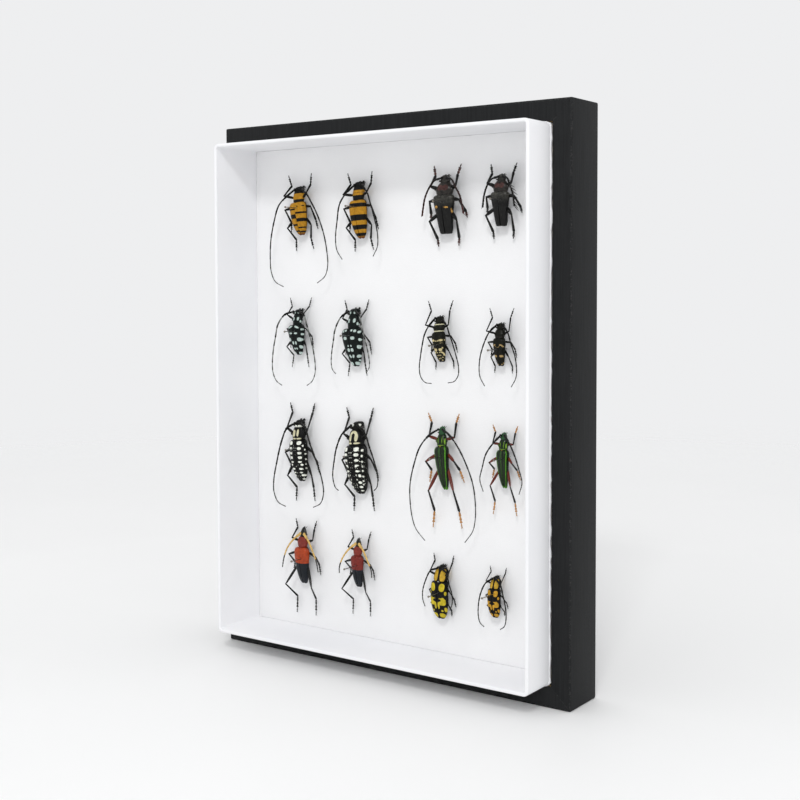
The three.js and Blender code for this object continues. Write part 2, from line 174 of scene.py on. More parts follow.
def blend(tree, factor, first, second, mode="MIX"):
    """Mixes two colours, each a socket or a plain colour, by a factor."""
    made = add_node(tree, "ShaderNodeMix", data_type="RGBA", blend_type=mode)
    colour_inputs = [socket for socket in made.inputs if socket.type == "RGBA"]
    for socket, value in zip((made.inputs[0], *colour_inputs), (factor, first, second)):
        if isinstance(value, bpy.types.NodeSocket):
            join(tree, value, socket)
        elif isinstance(value, (int, float)):
            socket.default_value = value
        else:
            socket.default_value = (*value, 1)
    return next(socket for socket in made.outputs if socket.type == "RGBA")


def add_bump(tree, shader, height, depth):
    """Raises the surface by a pattern, depth metres at most."""
    bump = add_node(tree, "ShaderNodeBump", {"Strength": 1.0, "Distance": depth})
    join(tree, height, bump.inputs["Height"])
    join(tree, bump.outputs["Normal"], shader.inputs["Normal"])


def shade(red, green, blue):
    """A colour as it looks on a screen, 0 to 255, turned into linear light."""
    def linear(level):
        level /= 255
        return level / 12.92 if level <= 0.04045 else ((level + 0.055) / 1.055) ** 2.4
    return tuple(linear(level) for level in (red, green, blue))


print("helpers for the finishes are ready")

# %% [markdown]
# The table and the light
# The box stands on a plain pale table in soft studio light. The shadow inside the top of the tray
# reaches about as far down as the tray is deep, and the tray's left wall is lit, so the main light
# stands in front, well above and to the right. The shadow's edge is only a little blurred, so the
# light is small. A bright surround fills the rest. A plane with a faintly uneven paint is all the
# table needs. It fades into the surround far out, as a sweep of paper does, so that no horizon
# cuts the picture.

# %% Lay the table and hang the light
BOX_MIDDLE = Vector((0, 0, 0.15))
KEY_PLACE = Vector((0.55, -1.05, 1.15))
KEY_SIZE = 0.22
KEY_POWER = 6.0
FILL_LEVEL = 0.87
TABLE_SIDE = 8
TABLE_DROP = 0.1 * MM
TABLE_SEEN, TABLE_GONE = 0.4, 1.3
TABLE_CLOUD = 3.0
TABLE_TONES = (0.93, 0.93, 0.925), (0.955, 0.955, 0.95)
SURROUND_COLOUR = (0.985, 0.99, 1.0, 1)


def table_finish():
    finish, tree, shader = new_finish("table_paint", roughness=0.6)
    place = object_place(tree)
    cloud = ramp(tree, noise(tree, place, TABLE_CLOUD), 0.3, 0.7)
    join(tree, blend(tree, cloud, *TABLE_TONES), shader.inputs["Base Color"])
    distance = add_node(tree, "ShaderNodeVectorMath", operation="LENGTH")
    join(tree, place, distance.inputs[0])
    fading = add_node(tree, "ShaderNodeMixShader")
    join(tree, ramp(tree, distance.outputs["Value"], TABLE_SEEN, TABLE_GONE), fading.inputs[0])
    join(tree, shader.outputs["BSDF"], fading.inputs[1])
    join(tree, add_node(tree, "ShaderNodeBsdfTransparent").outputs["BSDF"], fading.inputs[2])
    join(tree, fading.outputs["Shader"], tree.nodes["Material Output"].inputs["Surface"])
    return finish


def hang_key_light():
    """A square light that faces the middle of the box."""
    light = bpy.data.lights.new("key", "AREA")
    light.size = KEY_SIZE
    light.energy = KEY_POWER
    lamp = bpy.data.objects.new("key", light)
    lamp.location = KEY_PLACE
    lamp.rotation_euler = (BOX_MIDDLE - KEY_PLACE).to_track_quat("-Z", "Y").to_euler()
    bpy.context.collection.objects.link(lamp)


bpy.ops.object.select_all(action="DESELECT")
bpy.ops.mesh.primitive_plane_add(size=TABLE_SIDE, location=(0, 0, -TABLE_DROP))
table = bpy.context.object
table.name = "table"
table.data.materials.append(table_finish())

hang_key_light()

surround = bpy.data.worlds.new("surround")
surround.use_nodes = True
background = surround.node_tree.nodes["Background"]
background.inputs["Color"].default_value = SURROUND_COLOUR
background.inputs["Strength"].default_value = FILL_LEVEL
bpy.context.scene.world = surround
bpy.context.scene.view_settings.view_transform = "Standard"
print("key light stands", round((KEY_PLACE - BOX_MIDDLE).length, 2), "m from the box")

# %% [markdown]
# Working in edit mode from code
# Modelling by hand is a chain of small steps: add a primitive, pick some of its faces, extrude,
# inset or bevel them. The same steps work from code once two habits are kept. Everything is
# deselected before a primitive is added, and each pick is made by a test on place or direction.

# %% Helpers that work as by hand
def start_clean():
    """Leaves edit mode and deselects everything, so that only new work is acted on."""
    if bpy.context.object and bpy.context.object.mode != "OBJECT":
        bpy.ops.object.mode_set(mode="OBJECT")
    bpy.ops.object.select_all(action="DESELECT")


def open_edit(piece):
    """Opens one piece in edit mode with all of it selected."""
    start_clean()
    piece.select_set(True)
    bpy.context.view_layer.objects.active = piece
    bpy.ops.object.mode_set(mode="EDIT")
    bpy.ops.mesh.select_all(action="SELECT")


def close_edit(smooth_angle=None):
    """Turns all faces outwards, leaves edit mode and smooths the shading."""
    bpy.ops.mesh.select_all(action="SELECT")
    bpy.ops.mesh.normals_make_consistent(inside=False)
    bpy.ops.object.mode_set(mode="OBJECT")
    if smooth_angle is None:
        bpy.ops.object.shade_smooth()
    else:
        bpy.ops.object.shade_smooth_by_angle(angle=math.radians(smooth_angle))


def pick(kind, test):
    """In edit mode, selects just the faces, edges or vertices that pass the test."""
    bpy.ops.mesh.select_mode(type=kind)
    bpy.ops.mesh.select_all(action="DESELECT")
    mesh = bpy.context.object.data
    work = bmesh.from_edit_mesh(mesh)
    parts = {"FACE": work.faces, "EDGE": work.edges, "VERT": work.verts}[kind]
    for part in parts:
        part.select_set(bool(test(part)))
    work.select_flush_mode()
    bmesh.update_edit_mesh(mesh)


def add_block(name, low, high):
    """A cube primitive brought to the size and place between two corners."""
    start_clean()
    bpy.ops.mesh.primitive_cube_add(size=1, location=(low + high) / 2)
    block = bpy.context.object
    block.name = name
    block.scale = high - low
    bpy.ops.object.transform_apply(location=True, rotation=True, scale=True)
    return block


def apply_modifier(piece, kind, **settings):
    """Adds one modifier and applies it."""
    start_clean()
    piece.select_set(True)
    bpy.context.view_layer.objects.active = piece
    modifier = piece.modifiers.new(kind.lower(), kind)
    for option, value in settings.items():
        setattr(modifier, option, value)
    bpy.ops.object.modifier_apply(modifier=modifier.name)


def rounded_more(piece, levels):
    """Smooths a piece by subdivision."""
    apply_modifier(piece, "SUBSURF", levels=levels, render_levels=levels)


def ends_of(edge):
    """The two end points of an edge."""
    return edge.verts[0].co, edge.verts[1].co


def near(value, goal, reach=1e-5):
    """True where a length is the goal to within a hundredth of a millimetre."""
    return abs(value - goal) < reach


print("modelling helpers are ready")

# %% [markdown]
# The paper of the case and the tray
# Covering paper is matt, with a fine grain that catches the light and threads that run one way.
# The black paper has rubbed pale along its folds and edges and carries a little dust. Bump gives
# the grain, a noise drawn out along the height gives the threads, and an attribute named wear,
# written on the folded edges when the case is modelled, says where the rubbing is.

# %% Finishes of the case, the tray and the foam
GRAIN_SCALE = 2600
THREAD_SCALE = 1500
THREAD_STRETCH = (1, 1, 0.03)
WEAR_SCALE = 1500
WEAR_STRENGTH = 0.4
DUST_CELLS = 70
DUST_STRENGTH = 0.5
CASE_SHEEN = 0.16
CASE_TONES = shade(22, 23, 24), shade(36, 37, 38)
WORN_TONE = shade(96, 96, 95)
DUST_TONE = shade(170, 170, 165)
CASE_GRAIN_DEPTH = 0.05 * MM
BOARD_FIBRES = 700
BOARD_STRETCH = (1, 6, 1)
BOARD_TONES = shade(120, 100, 68), shade(176, 152, 108)
BOARD_DEPTH = 0.08 * MM
TRAY_GRAIN = 1900
TRAY_CLOUD = 24
TRAY_TONES = (0.88, 0.885, 0.905), (0.91, 0.91, 0.925)
TRAY_PIT_TONE = (0.83, 0.83, 0.84)
FOAM_CELLS = 1400
FOAM_CLOUD = 30
FOAM_TONES = (0.885, 0.885, 0.89), (0.91, 0.91, 0.915)
FOAM_PORE_TONE = (0.80, 0.80, 0.80)
WHITE_GRAIN_DEPTH = 0.03 * MM


def dust_specks(tree, place):
    """A few small round specks, one in some of the cells of a Voronoi pattern."""
    cells = add_node(tree, "ShaderNodeTexVoronoi", {"Scale": DUST_CELLS})
    join(tree, place, cells.inputs["Vector"])
    chance = add_node(tree, "ShaderNodeSeparateColor")
    join(tree, cells.outputs["Color"], chance.inputs["Color"])
    size = ramp(tree, chance.outputs["Red"], 0.55, 1.0, 0.0, 0.035)
    return ramp(tree, math_of(tree, "SUBTRACT", size, cells.outputs["Distance"]), 0.0, 0.012)


def case_paper_finish():
    finish, tree, shader = new_finish("case_paper")
    shader.inputs["Specular IOR Level"].default_value = CASE_SHEEN
    place = object_place(tree)
    grain = noise(tree, place, GRAIN_SCALE)
    threads = noise(tree, object_place(tree, THREAD_STRETCH), THREAD_SCALE)
    half_grain = math_of(tree, "MULTIPLY", grain, 0.5)
    half_threads = math_of(tree, "MULTIPLY", threads, 0.5)
    mottled = math_of(tree, "ADD", half_grain, half_threads)
    paper = blend(tree, ramp(tree, mottled, 0.35, 0.65), *CASE_TONES)
    wear = add_node(tree, "ShaderNodeAttribute", attribute_name="wear")
    patches = ramp(tree, noise(tree, place, WEAR_SCALE), 0.5, 0.75)
    rubbed = math_of(tree, "MULTIPLY", wear.outputs["Fac"], patches)
    worn = blend(tree, math_of(tree, "MULTIPLY", rubbed, WEAR_STRENGTH), paper, WORN_TONE)
    dust = math_of(tree, "MULTIPLY", dust_specks(tree, place), DUST_STRENGTH)
    join(tree, blend(tree, dust, worn, DUST_TONE), shader.inputs["Base Color"])
    join(tree, ramp(tree, grain, 0.3, 0.7, 0.55, 0.75), shader.inputs["Roughness"])
    add_bump(tree, shader, mottled, CASE_GRAIN_DEPTH)
    return finish


def bare_board_finish():
    finish, tree, shader = new_finish("bare_board", roughness=0.9)
    fibres = noise(tree, object_place(tree, BOARD_STRETCH), BOARD_FIBRES)
    join(tree, blend(tree, fibres, *BOARD_TONES), shader.inputs["Base Color"])
    add_bump(tree, shader, fibres, BOARD_DEPTH)
    return finish


def tray_paper_finish():
    finish, tree, shader = new_finish("tray_paper")
    place = object_place(tree)
    grain = noise(tree, place, TRAY_GRAIN)
    cloud = noise(tree, place, TRAY_CLOUD)
    paper = blend(tree, ramp(tree, cloud, 0.35, 0.65), *TRAY_TONES)
    pits = ramp(tree, grain, 0.2, 0.5, 0.25, 0.0)
    join(tree, blend(tree, pits, paper, TRAY_PIT_TONE), shader.inputs["Base Color"])
    join(tree, ramp(tree, grain, 0.3, 0.7, 0.5, 0.68), shader.inputs["Roughness"])
    add_bump(tree, shader, grain, WHITE_GRAIN_DEPTH)
    return finish


def foam_finish():
    finish, tree, shader = new_finish("white_foam", roughness=0.85)
    place = object_place(tree)
    cells = add_node(tree, "ShaderNodeTexVoronoi", {"Scale": FOAM_CELLS})
    join(tree, place, cells.inputs["Vector"])
    pores = ramp(tree, cells.outputs["Distance"], 0.1, 0.6)
    cloud = noise(tree, place, FOAM_CLOUD)
    sheet = blend(tree, ramp(tree, cloud, 0.35, 0.65), *FOAM_TONES)
    faint_pores = ramp(tree, pores, 0.0, 1.0, 0.0, 0.12)
    join(tree, blend(tree, faint_pores, sheet, FOAM_PORE_TONE), shader.inputs["Base Color"])
    add_bump(tree, shader, pores, WHITE_GRAIN_DEPTH)
    return finish


case_paper = case_paper_finish()
bare_board = bare_board_finish()
tray_paper = tray_paper_finish()
white_foam = foam_finish()
print("box finishes:", case_paper.name, bare_board.name, tray_paper.name, white_foam.name)

# %% [markdown]
# The case
# The case is a board box open at the front, with a flat rim whose paper is folded to a mitre at
# each corner. A cube could be hollowed by a boolean, but an inset and an extrusion do the same and
# leave an edge from each outer corner to each inner corner, just where the paper folds. Those
# edges are bevelled and sunk a little, and the outer edges are softened as covered board is.

# %% Model the case
CASE_RIM = 11.1 * MM
CASE_BACK = 3 * MM
CASE_SOFT_EDGE = 0.8 * MM
RIM_SOFT_EDGE = 0.4 * MM
FOLD_WIDTH = 0.35 * MM
FOLD_DEPTH = 0.22 * MM
RIM_SLACK = 0.05 * MM
BARE_FROM = 1 * MM
case_low, case_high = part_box("case")
case_middle = (case_low + case_high) / 2
case_half = (case_high - case_low) / 2


def from_corner(point):
    """How far a point of the rim lies from the case's nearer side, and from its nearer end."""
    return case_half.x - abs(point.x), case_half.z - abs(point.z - case_middle.z)


def on_fold(point):
    """True for a point of the rim that is as far from the side as from the end."""
    from_side, from_end = from_corner(point)
    return near(point.y, case_low.y) and near(from_side, from_end, 2e-5)


def is_outer_edge(edge):
    """True for the twelve edges of the block, which lie on two of its outer planes."""
    middle = (edge.verts[0].co + edge.verts[1].co) / 2 - case_middle
    return sum(near(abs(middle[axis]), case_half[axis]) for axis in range(3)) >= 2


def is_rim_edge(edge):
    """True for the edges of the opening in the rim."""
    return all(near(p.y, case_low.y) and near(min(from_corner(p)), CASE_RIM) for p in ends_of(edge))


def off_planes(point):
    """True for a point that lies on none of the outer planes, as in a worn edge or a fold."""
    offset = point - case_middle
    return not any(near(abs(offset[axis]), case_half[axis]) for axis in range(3))


def model_case():
    piece = add_block("box_case", case_low, case_high)
    open_edit(piece)
    pick("FACE", lambda face: face.normal.y < -0.9)
    bpy.ops.mesh.inset(thickness=CASE_RIM, depth=0)
    depth = case_high.y - case_low.y - CASE_BACK
    bpy.ops.mesh.extrude_region_move(TRANSFORM_OT_translate={"value": (0, depth, 0)})
    pick("EDGE", is_outer_edge)
    bpy.ops.mesh.bevel(offset=CASE_SOFT_EDGE, segments=3, affect="EDGES")
    pick("EDGE", is_rim_edge)
    bpy.ops.mesh.bevel(offset=RIM_SOFT_EDGE, segments=2, affect="EDGES")
    pick("EDGE", lambda edge: all(on_fold(p) for p in ends_of(edge)))
    bpy.ops.mesh.bevel(offset=FOLD_WIDTH, segments=2, affect="EDGES")
    pick("VERT", lambda vertex: on_fold(vertex.co))
    bpy.ops.transform.translate(value=(0, FOLD_DEPTH, 0))
    close_edit(smooth_angle=35)
    return piece


box_case = model_case()
box_case.data.materials.append(case_paper)
box_case.data.materials.append(bare_board)
for face in box_case.data.polygons:
    middle = face.center
    inside = min(from_corner(middle)) > CASE_RIM - RIM_SLACK
    if inside and case_low.y + BARE_FROM < middle.y < case_high.y - BARE_FROM:
        face.material_index = 1

wear = box_case.data.attributes.new("wear", "FLOAT", "POINT")
wear.data.foreach_set("value", [float(off_planes(v.co)) for v in box_case.data.vertices])
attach(box_case, "root")
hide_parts("case")
print("case:", len(box_case.data.polygons), "faces")

# %% [markdown]
# The tray
# The tray is thin card under white paper, with round corners and a soft rim. Its four upright
# corner edges are bevelled first, so the inset that makes the wall follows the round corners. The
# rim's edges are rounded last. Where the paper comes out of the case its cut edge is ragged: a
# ring of paper is modelled round the tray there, and its free edge is flared and shaken.

# %% Model the tray and its ragged paper edge
TRAY_WALL = 2 * MM
TRAY_FLOOR = 2 * MM
TRAY_CORNER = 3 * MM
RIM_ROUND = 0.85 * MM
PAPER_GAP = 0.06 * MM
PAPER_WIDTH = 1.3 * MM
PAPER_FLARE = 0.22 * MM
PAPER_SHAKE = 0.36 * MM
PAPER_THICK = 0.22 * MM
PAPER_CUTS = 300
LONG_EDGE = 50 * MM
tray_low, tray_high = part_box("tray")


def runs_deep(edge):
    """True for an edge that runs from the front to the back."""
    start, end = ends_of(edge)
    return abs(start.y - end.y) > 0.9 * (start - end).length


def model_tray():
    piece = add_block("box_tray", tray_low, tray_high)
    open_edit(piece)
    pick("EDGE", runs_deep)
    bpy.ops.mesh.bevel(offset=TRAY_CORNER, segments=6, affect="EDGES")
    pick("FACE", lambda face: face.normal.y < -0.9)
    bpy.ops.mesh.inset(thickness=TRAY_WALL, depth=0)
    depth = tray_high.y - tray_low.y - TRAY_FLOOR
    bpy.ops.mesh.extrude_region_move(TRANSFORM_OT_translate={"value": (0, depth, 0)})
    pick("EDGE", is_tray_rim_edge)
    bpy.ops.mesh.bevel(offset=RIM_ROUND, segments=4, affect="EDGES")
    close_edit(smooth_angle=40)
    return piece


def rim_reach(point):
    """How far outside the tray's sides a point of the rim lies; below zero inside them."""
    middle = (tray_low + tray_high) / 2
    across = abs(point.x - middle.x) - tray_high.x
    upward = abs(point.z - middle.z) - tray_high.z + middle.z
    return max(across, upward)


def is_tray_rim_edge(edge):
    """True for the rim's two loops of edges, not for the short ones that cross it."""
    start, end = ends_of(edge)
    crosses = abs(rim_reach(start) - rim_reach(end)) > 0.5 * TRAY_WALL
    return not crosses and near(start.y, tray_low.y) and near(end.y, tray_low.y)


def model_paper_edge():
    spread = Vector((PAPER_GAP, 0, PAPER_GAP))
    low = Vector((tray_low.x, case_low.y - PAPER_WIDTH, tray_low.z)) - spread
    high = Vector((tray_high.x, case_low.y - PAPER_GAP, tray_high.z)) + spread
    piece = add_block("tray_paper_edge", low, high)
    middle = (low + high) / 2
    open_edit(piece)
    pick("EDGE", runs_deep)
    bpy.ops.mesh.bevel(offset=TRAY_CORNER, segments=6, affect="EDGES")
    pick("FACE", lambda face: abs(face.normal.y) > 0.9)
    bpy.ops.mesh.delete(type="FACE")
    pick("EDGE", lambda edge: edge.calc_length() > LONG_EDGE)
    bpy.ops.mesh.subdivide(number_cuts=PAPER_CUTS)
    pick("VERT", lambda vertex: near(vertex.co.y, high.y))
    flare = [1 + PAPER_FLARE / (high[axis] - middle[axis]) for axis in (0, 2)]
    bpy.ops.transform.resize(value=(flare[0], 1, flare[1]), center_override=middle)
    bpy.ops.transform.vertex_random(offset=PAPER_SHAKE, uniform=0.9, normal=0.0, seed=4)
    close_edit(smooth_angle=60)
    apply_modifier(piece, "SOLIDIFY", thickness=PAPER_THICK, offset=0)
    return piece


box_tray = model_tray()
paper_edge = model_paper_edge()
for piece in (box_tray, paper_edge):
    piece.data.materials.append(tray_paper)
    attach(piece, "root")
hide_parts("tray")
print("tray:", len(box_tray.data.polygons), "faces, paper edge:", len(paper_edge.data.polygons))

# %% [markdown]
# The foam sheet
# The floor is a sheet of fine white foam that holds the pins. It is flat but never dead flat, so
# its face is subdivided and shaken by a few hundredths of a millimetre, which makes the light run
# over it as over real foam. The cells are too small to model and come from the finish.

# %% Model the foam sheet
FOAM_SOFT_EDGE = 0.2 * MM
FOAM_REACH = 0.25 * MM
FOAM_CUTS = 40
FOAM_SHAKE = 0.05 * MM
foam_low, foam_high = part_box("foam_floor")


def model_foam():
    reach = Vector((FOAM_REACH, 0, FOAM_REACH))
    piece = add_block("foam_sheet", foam_low - reach, foam_high + reach)
    open_edit(piece)
    bpy.ops.mesh.bevel(offset=FOAM_SOFT_EDGE, segments=3, affect="EDGES")
    pick("FACE", lambda face: face.normal.y < -0.99)
    bpy.ops.mesh.subdivide(number_cuts=FOAM_CUTS)
    pick("FACE", lambda face: face.normal.y < -0.99)
    bpy.ops.mesh.select_less()
    bpy.ops.transform.vertex_random(offset=FOAM_SHAKE, uniform=0.0, normal=1.0, seed=9)
    close_edit(smooth_angle=40)
    return piece


foam_sheet = model_foam()
foam_sheet.data.materials.append(white_foam)
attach(foam_sheet, "root")
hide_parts("foam_floor")
print("foam:", len(foam_sheet.data.polygons), "faces")

# %% [markdown]
# Lofts
# A beetle is a row of rounded hulls, and each can be drawn as a row of rings from its tail end to
# its head end. By hand one fills a circle, extrudes it to the next ring and resizes it there, again
# and again, and lets subdivision round the result. The specimens are modelled in millimetres, lying
# on their foam: X is across, Y runs to the head and Z is up, and they are shrunk to metres when
# they are put in place.

# %% Helpers that loft through rings
QUARTER_TURN = math.pi / 2


def first_ring(name, sides, place):
    """A filled circle of radius one that stands across Y."""
    start_clean()
    bpy.ops.mesh.primitive_circle_add(
        vertices=sides, radius=1, fill_type="NGON", location=place, rotation=(QUARTER_TURN, 0, 0),
    )
    piece = bpy.context.object
    piece.name = name
    bpy.ops.object.transform_apply(location=True, rotation=True, scale=True)
    return piece


def extrude_rings(rings):
    """In edit mode with the first ring selected: each ring is its middle and its two half sizes."""
    middle, half, tall = rings[0]
    bpy.ops.transform.resize(value=(half, 1, tall), center_override=middle)
    for to_middle, to_half, to_tall in rings[1:]:
        step = Vector(to_middle) - Vector(middle)
        bpy.ops.mesh.extrude_region_move(TRANSFORM_OT_translate={"value": step})
        bpy.ops.transform.resize(value=(to_half / half, 1, to_tall / tall), center_override=to_middle)
        middle, half, tall = to_middle, to_half, to_tall


def loft(name, sides, rings, levels):
    """A closed hull through rings, rounded by subdivision."""
    piece = first_ring(name, sides, rings[0][0])
    open_edit(piece)
    extrude_rings(rings)
    close_edit()
    if levels:
        rounded_more(piece, levels)
    return piece


def straight_rings(profile):
    """Rings round the Y axis from pairs of place and radius."""
    return [((0, along, 0), radius, radius) for along, radius in profile]


def keep_mesh(piece):
    """Takes a finished shape's mesh out of the scene, ready to be copied."""
    start_clean()
    mesh = piece.data
    bpy.data.objects.remove(piece)
    return mesh


print("loft helpers are ready")

# %% [markdown]
# The small joints, modelled once
# A longhorn's legs and antennae are chains of a few kinds of joint. Each joint is modelled once, one
# unit long and one unit in radius, and every leg and antenna is then a set of copies, stretched
# between the places where the real joints are. Thighs are clubs, shins widen to the ankle, foot pads
# are flat and heart-shaped, claws and jaws are hooks, and eyes are bean-shaped round the antenna.

# %% Model the small joints
def model_hook():
    """A curved, tapering hook for claws, jaws, spurs and the teeth of a saw-like antenna."""
    rings = [
        ((0, 0, 0), 1.0, 1.0), ((0.25, 0.45, 0), 0.8, 0.8),
        ((0.2, 0.8, 0), 0.5, 0.5), ((-0.15, 1.0, 0), 0.12, 0.12),
    ]
    return loft("hook", 8, rings, 1)


def model_bean_eye():
    """A sphere pressed in at its front, as an eye that bends round the foot of an antenna."""
    start_clean()
    bpy.ops.mesh.primitive_uv_sphere_add(segments=20, ring_count=12, radius=1)
    piece = bpy.context.object
    open_edit(piece)
    pick("VERT", lambda vertex: vertex.co.y > 0.55)
    bpy.ops.transform.translate(value=(0, -0.35, 0))
    pick("VERT", lambda vertex: vertex.co.y > 0.1)
    bpy.ops.mesh.vertices_smooth(factor=0.5, repeat=2)
    close_edit()
    return piece


def model_shield():
    """The small pointed plate between the wing cases."""
    start_clean()
    bpy.ops.mesh.primitive_cube_add(size=2)
    piece = bpy.context.object
    open_edit(piece)
    pick("VERT", lambda vertex: vertex.co.y < 0)
    bpy.ops.transform.resize(value=(0.25, 1, 1), center_override=(0, -1, 0))
    bpy.ops.mesh.select_all(action="SELECT")
    bpy.ops.mesh.subdivide(number_cuts=1)
    close_edit()
    rounded_more(piece, 1)
    return piece


# Each joint has a number of sides and pairs of place along and radius.
JOINTS = {
    "thigh": (8, ((0, 0.45), (0.06, 0.62), (0.3, 0.85), (0.55, 1.0), (0.78, 0.9), (0.93, 0.6),
                  (1, 0.42))),
    "shin": (8, ((0, 0.5), (0.05, 0.72), (0.4, 0.74), (0.8, 0.95), (0.96, 1.1), (1, 0.8))),
    "pad": (8, ((-0.06, 0.35), (0.12, 0.5), (0.6, 0.85), (0.92, 1.05), (1.04, 0.7))),
    "claw_joint": (6, ((0, 0.4), (0.3, 0.55), (0.85, 0.9), (1, 0.7))),
    "feeler_joint": (7, ((-0.05, 0.6), (0.04, 0.78), (0.6, 0.86), (0.92, 1.0), (1.05, 0.75))),
    "ball": (8, ((-1, 0.45), (-0.75, 0.8), (0, 1.05), (0.75, 0.8), (1, 0.45))),
}
UNITS = {}
for unit_name, (sides, profile) in JOINTS.items():
    UNITS[unit_name] = keep_mesh(loft(unit_name, sides, straight_rings(profile), 1))
UNITS["hook"] = keep_mesh(model_hook())
UNITS["eye"] = keep_mesh(model_bean_eye())
UNITS["shield"] = keep_mesh(model_shield())
for unit_name, unit_mesh in UNITS.items():
    print("joint", unit_name, len(unit_mesh.polygons), "faces")

# %% [markdown]
# The eight kinds of beetle
# The kinds differ in outline: some are broad at the shoulder and some are slim, most have round
# tails and one is cut off square. The tables below are read off the photograph in millimetres on
# the left specimen of each pair. Each outline is a few pairs of place along the body and half width,
# from the tail to the head; a leg is its knee, ankle and toe, as across, along and up from the body.

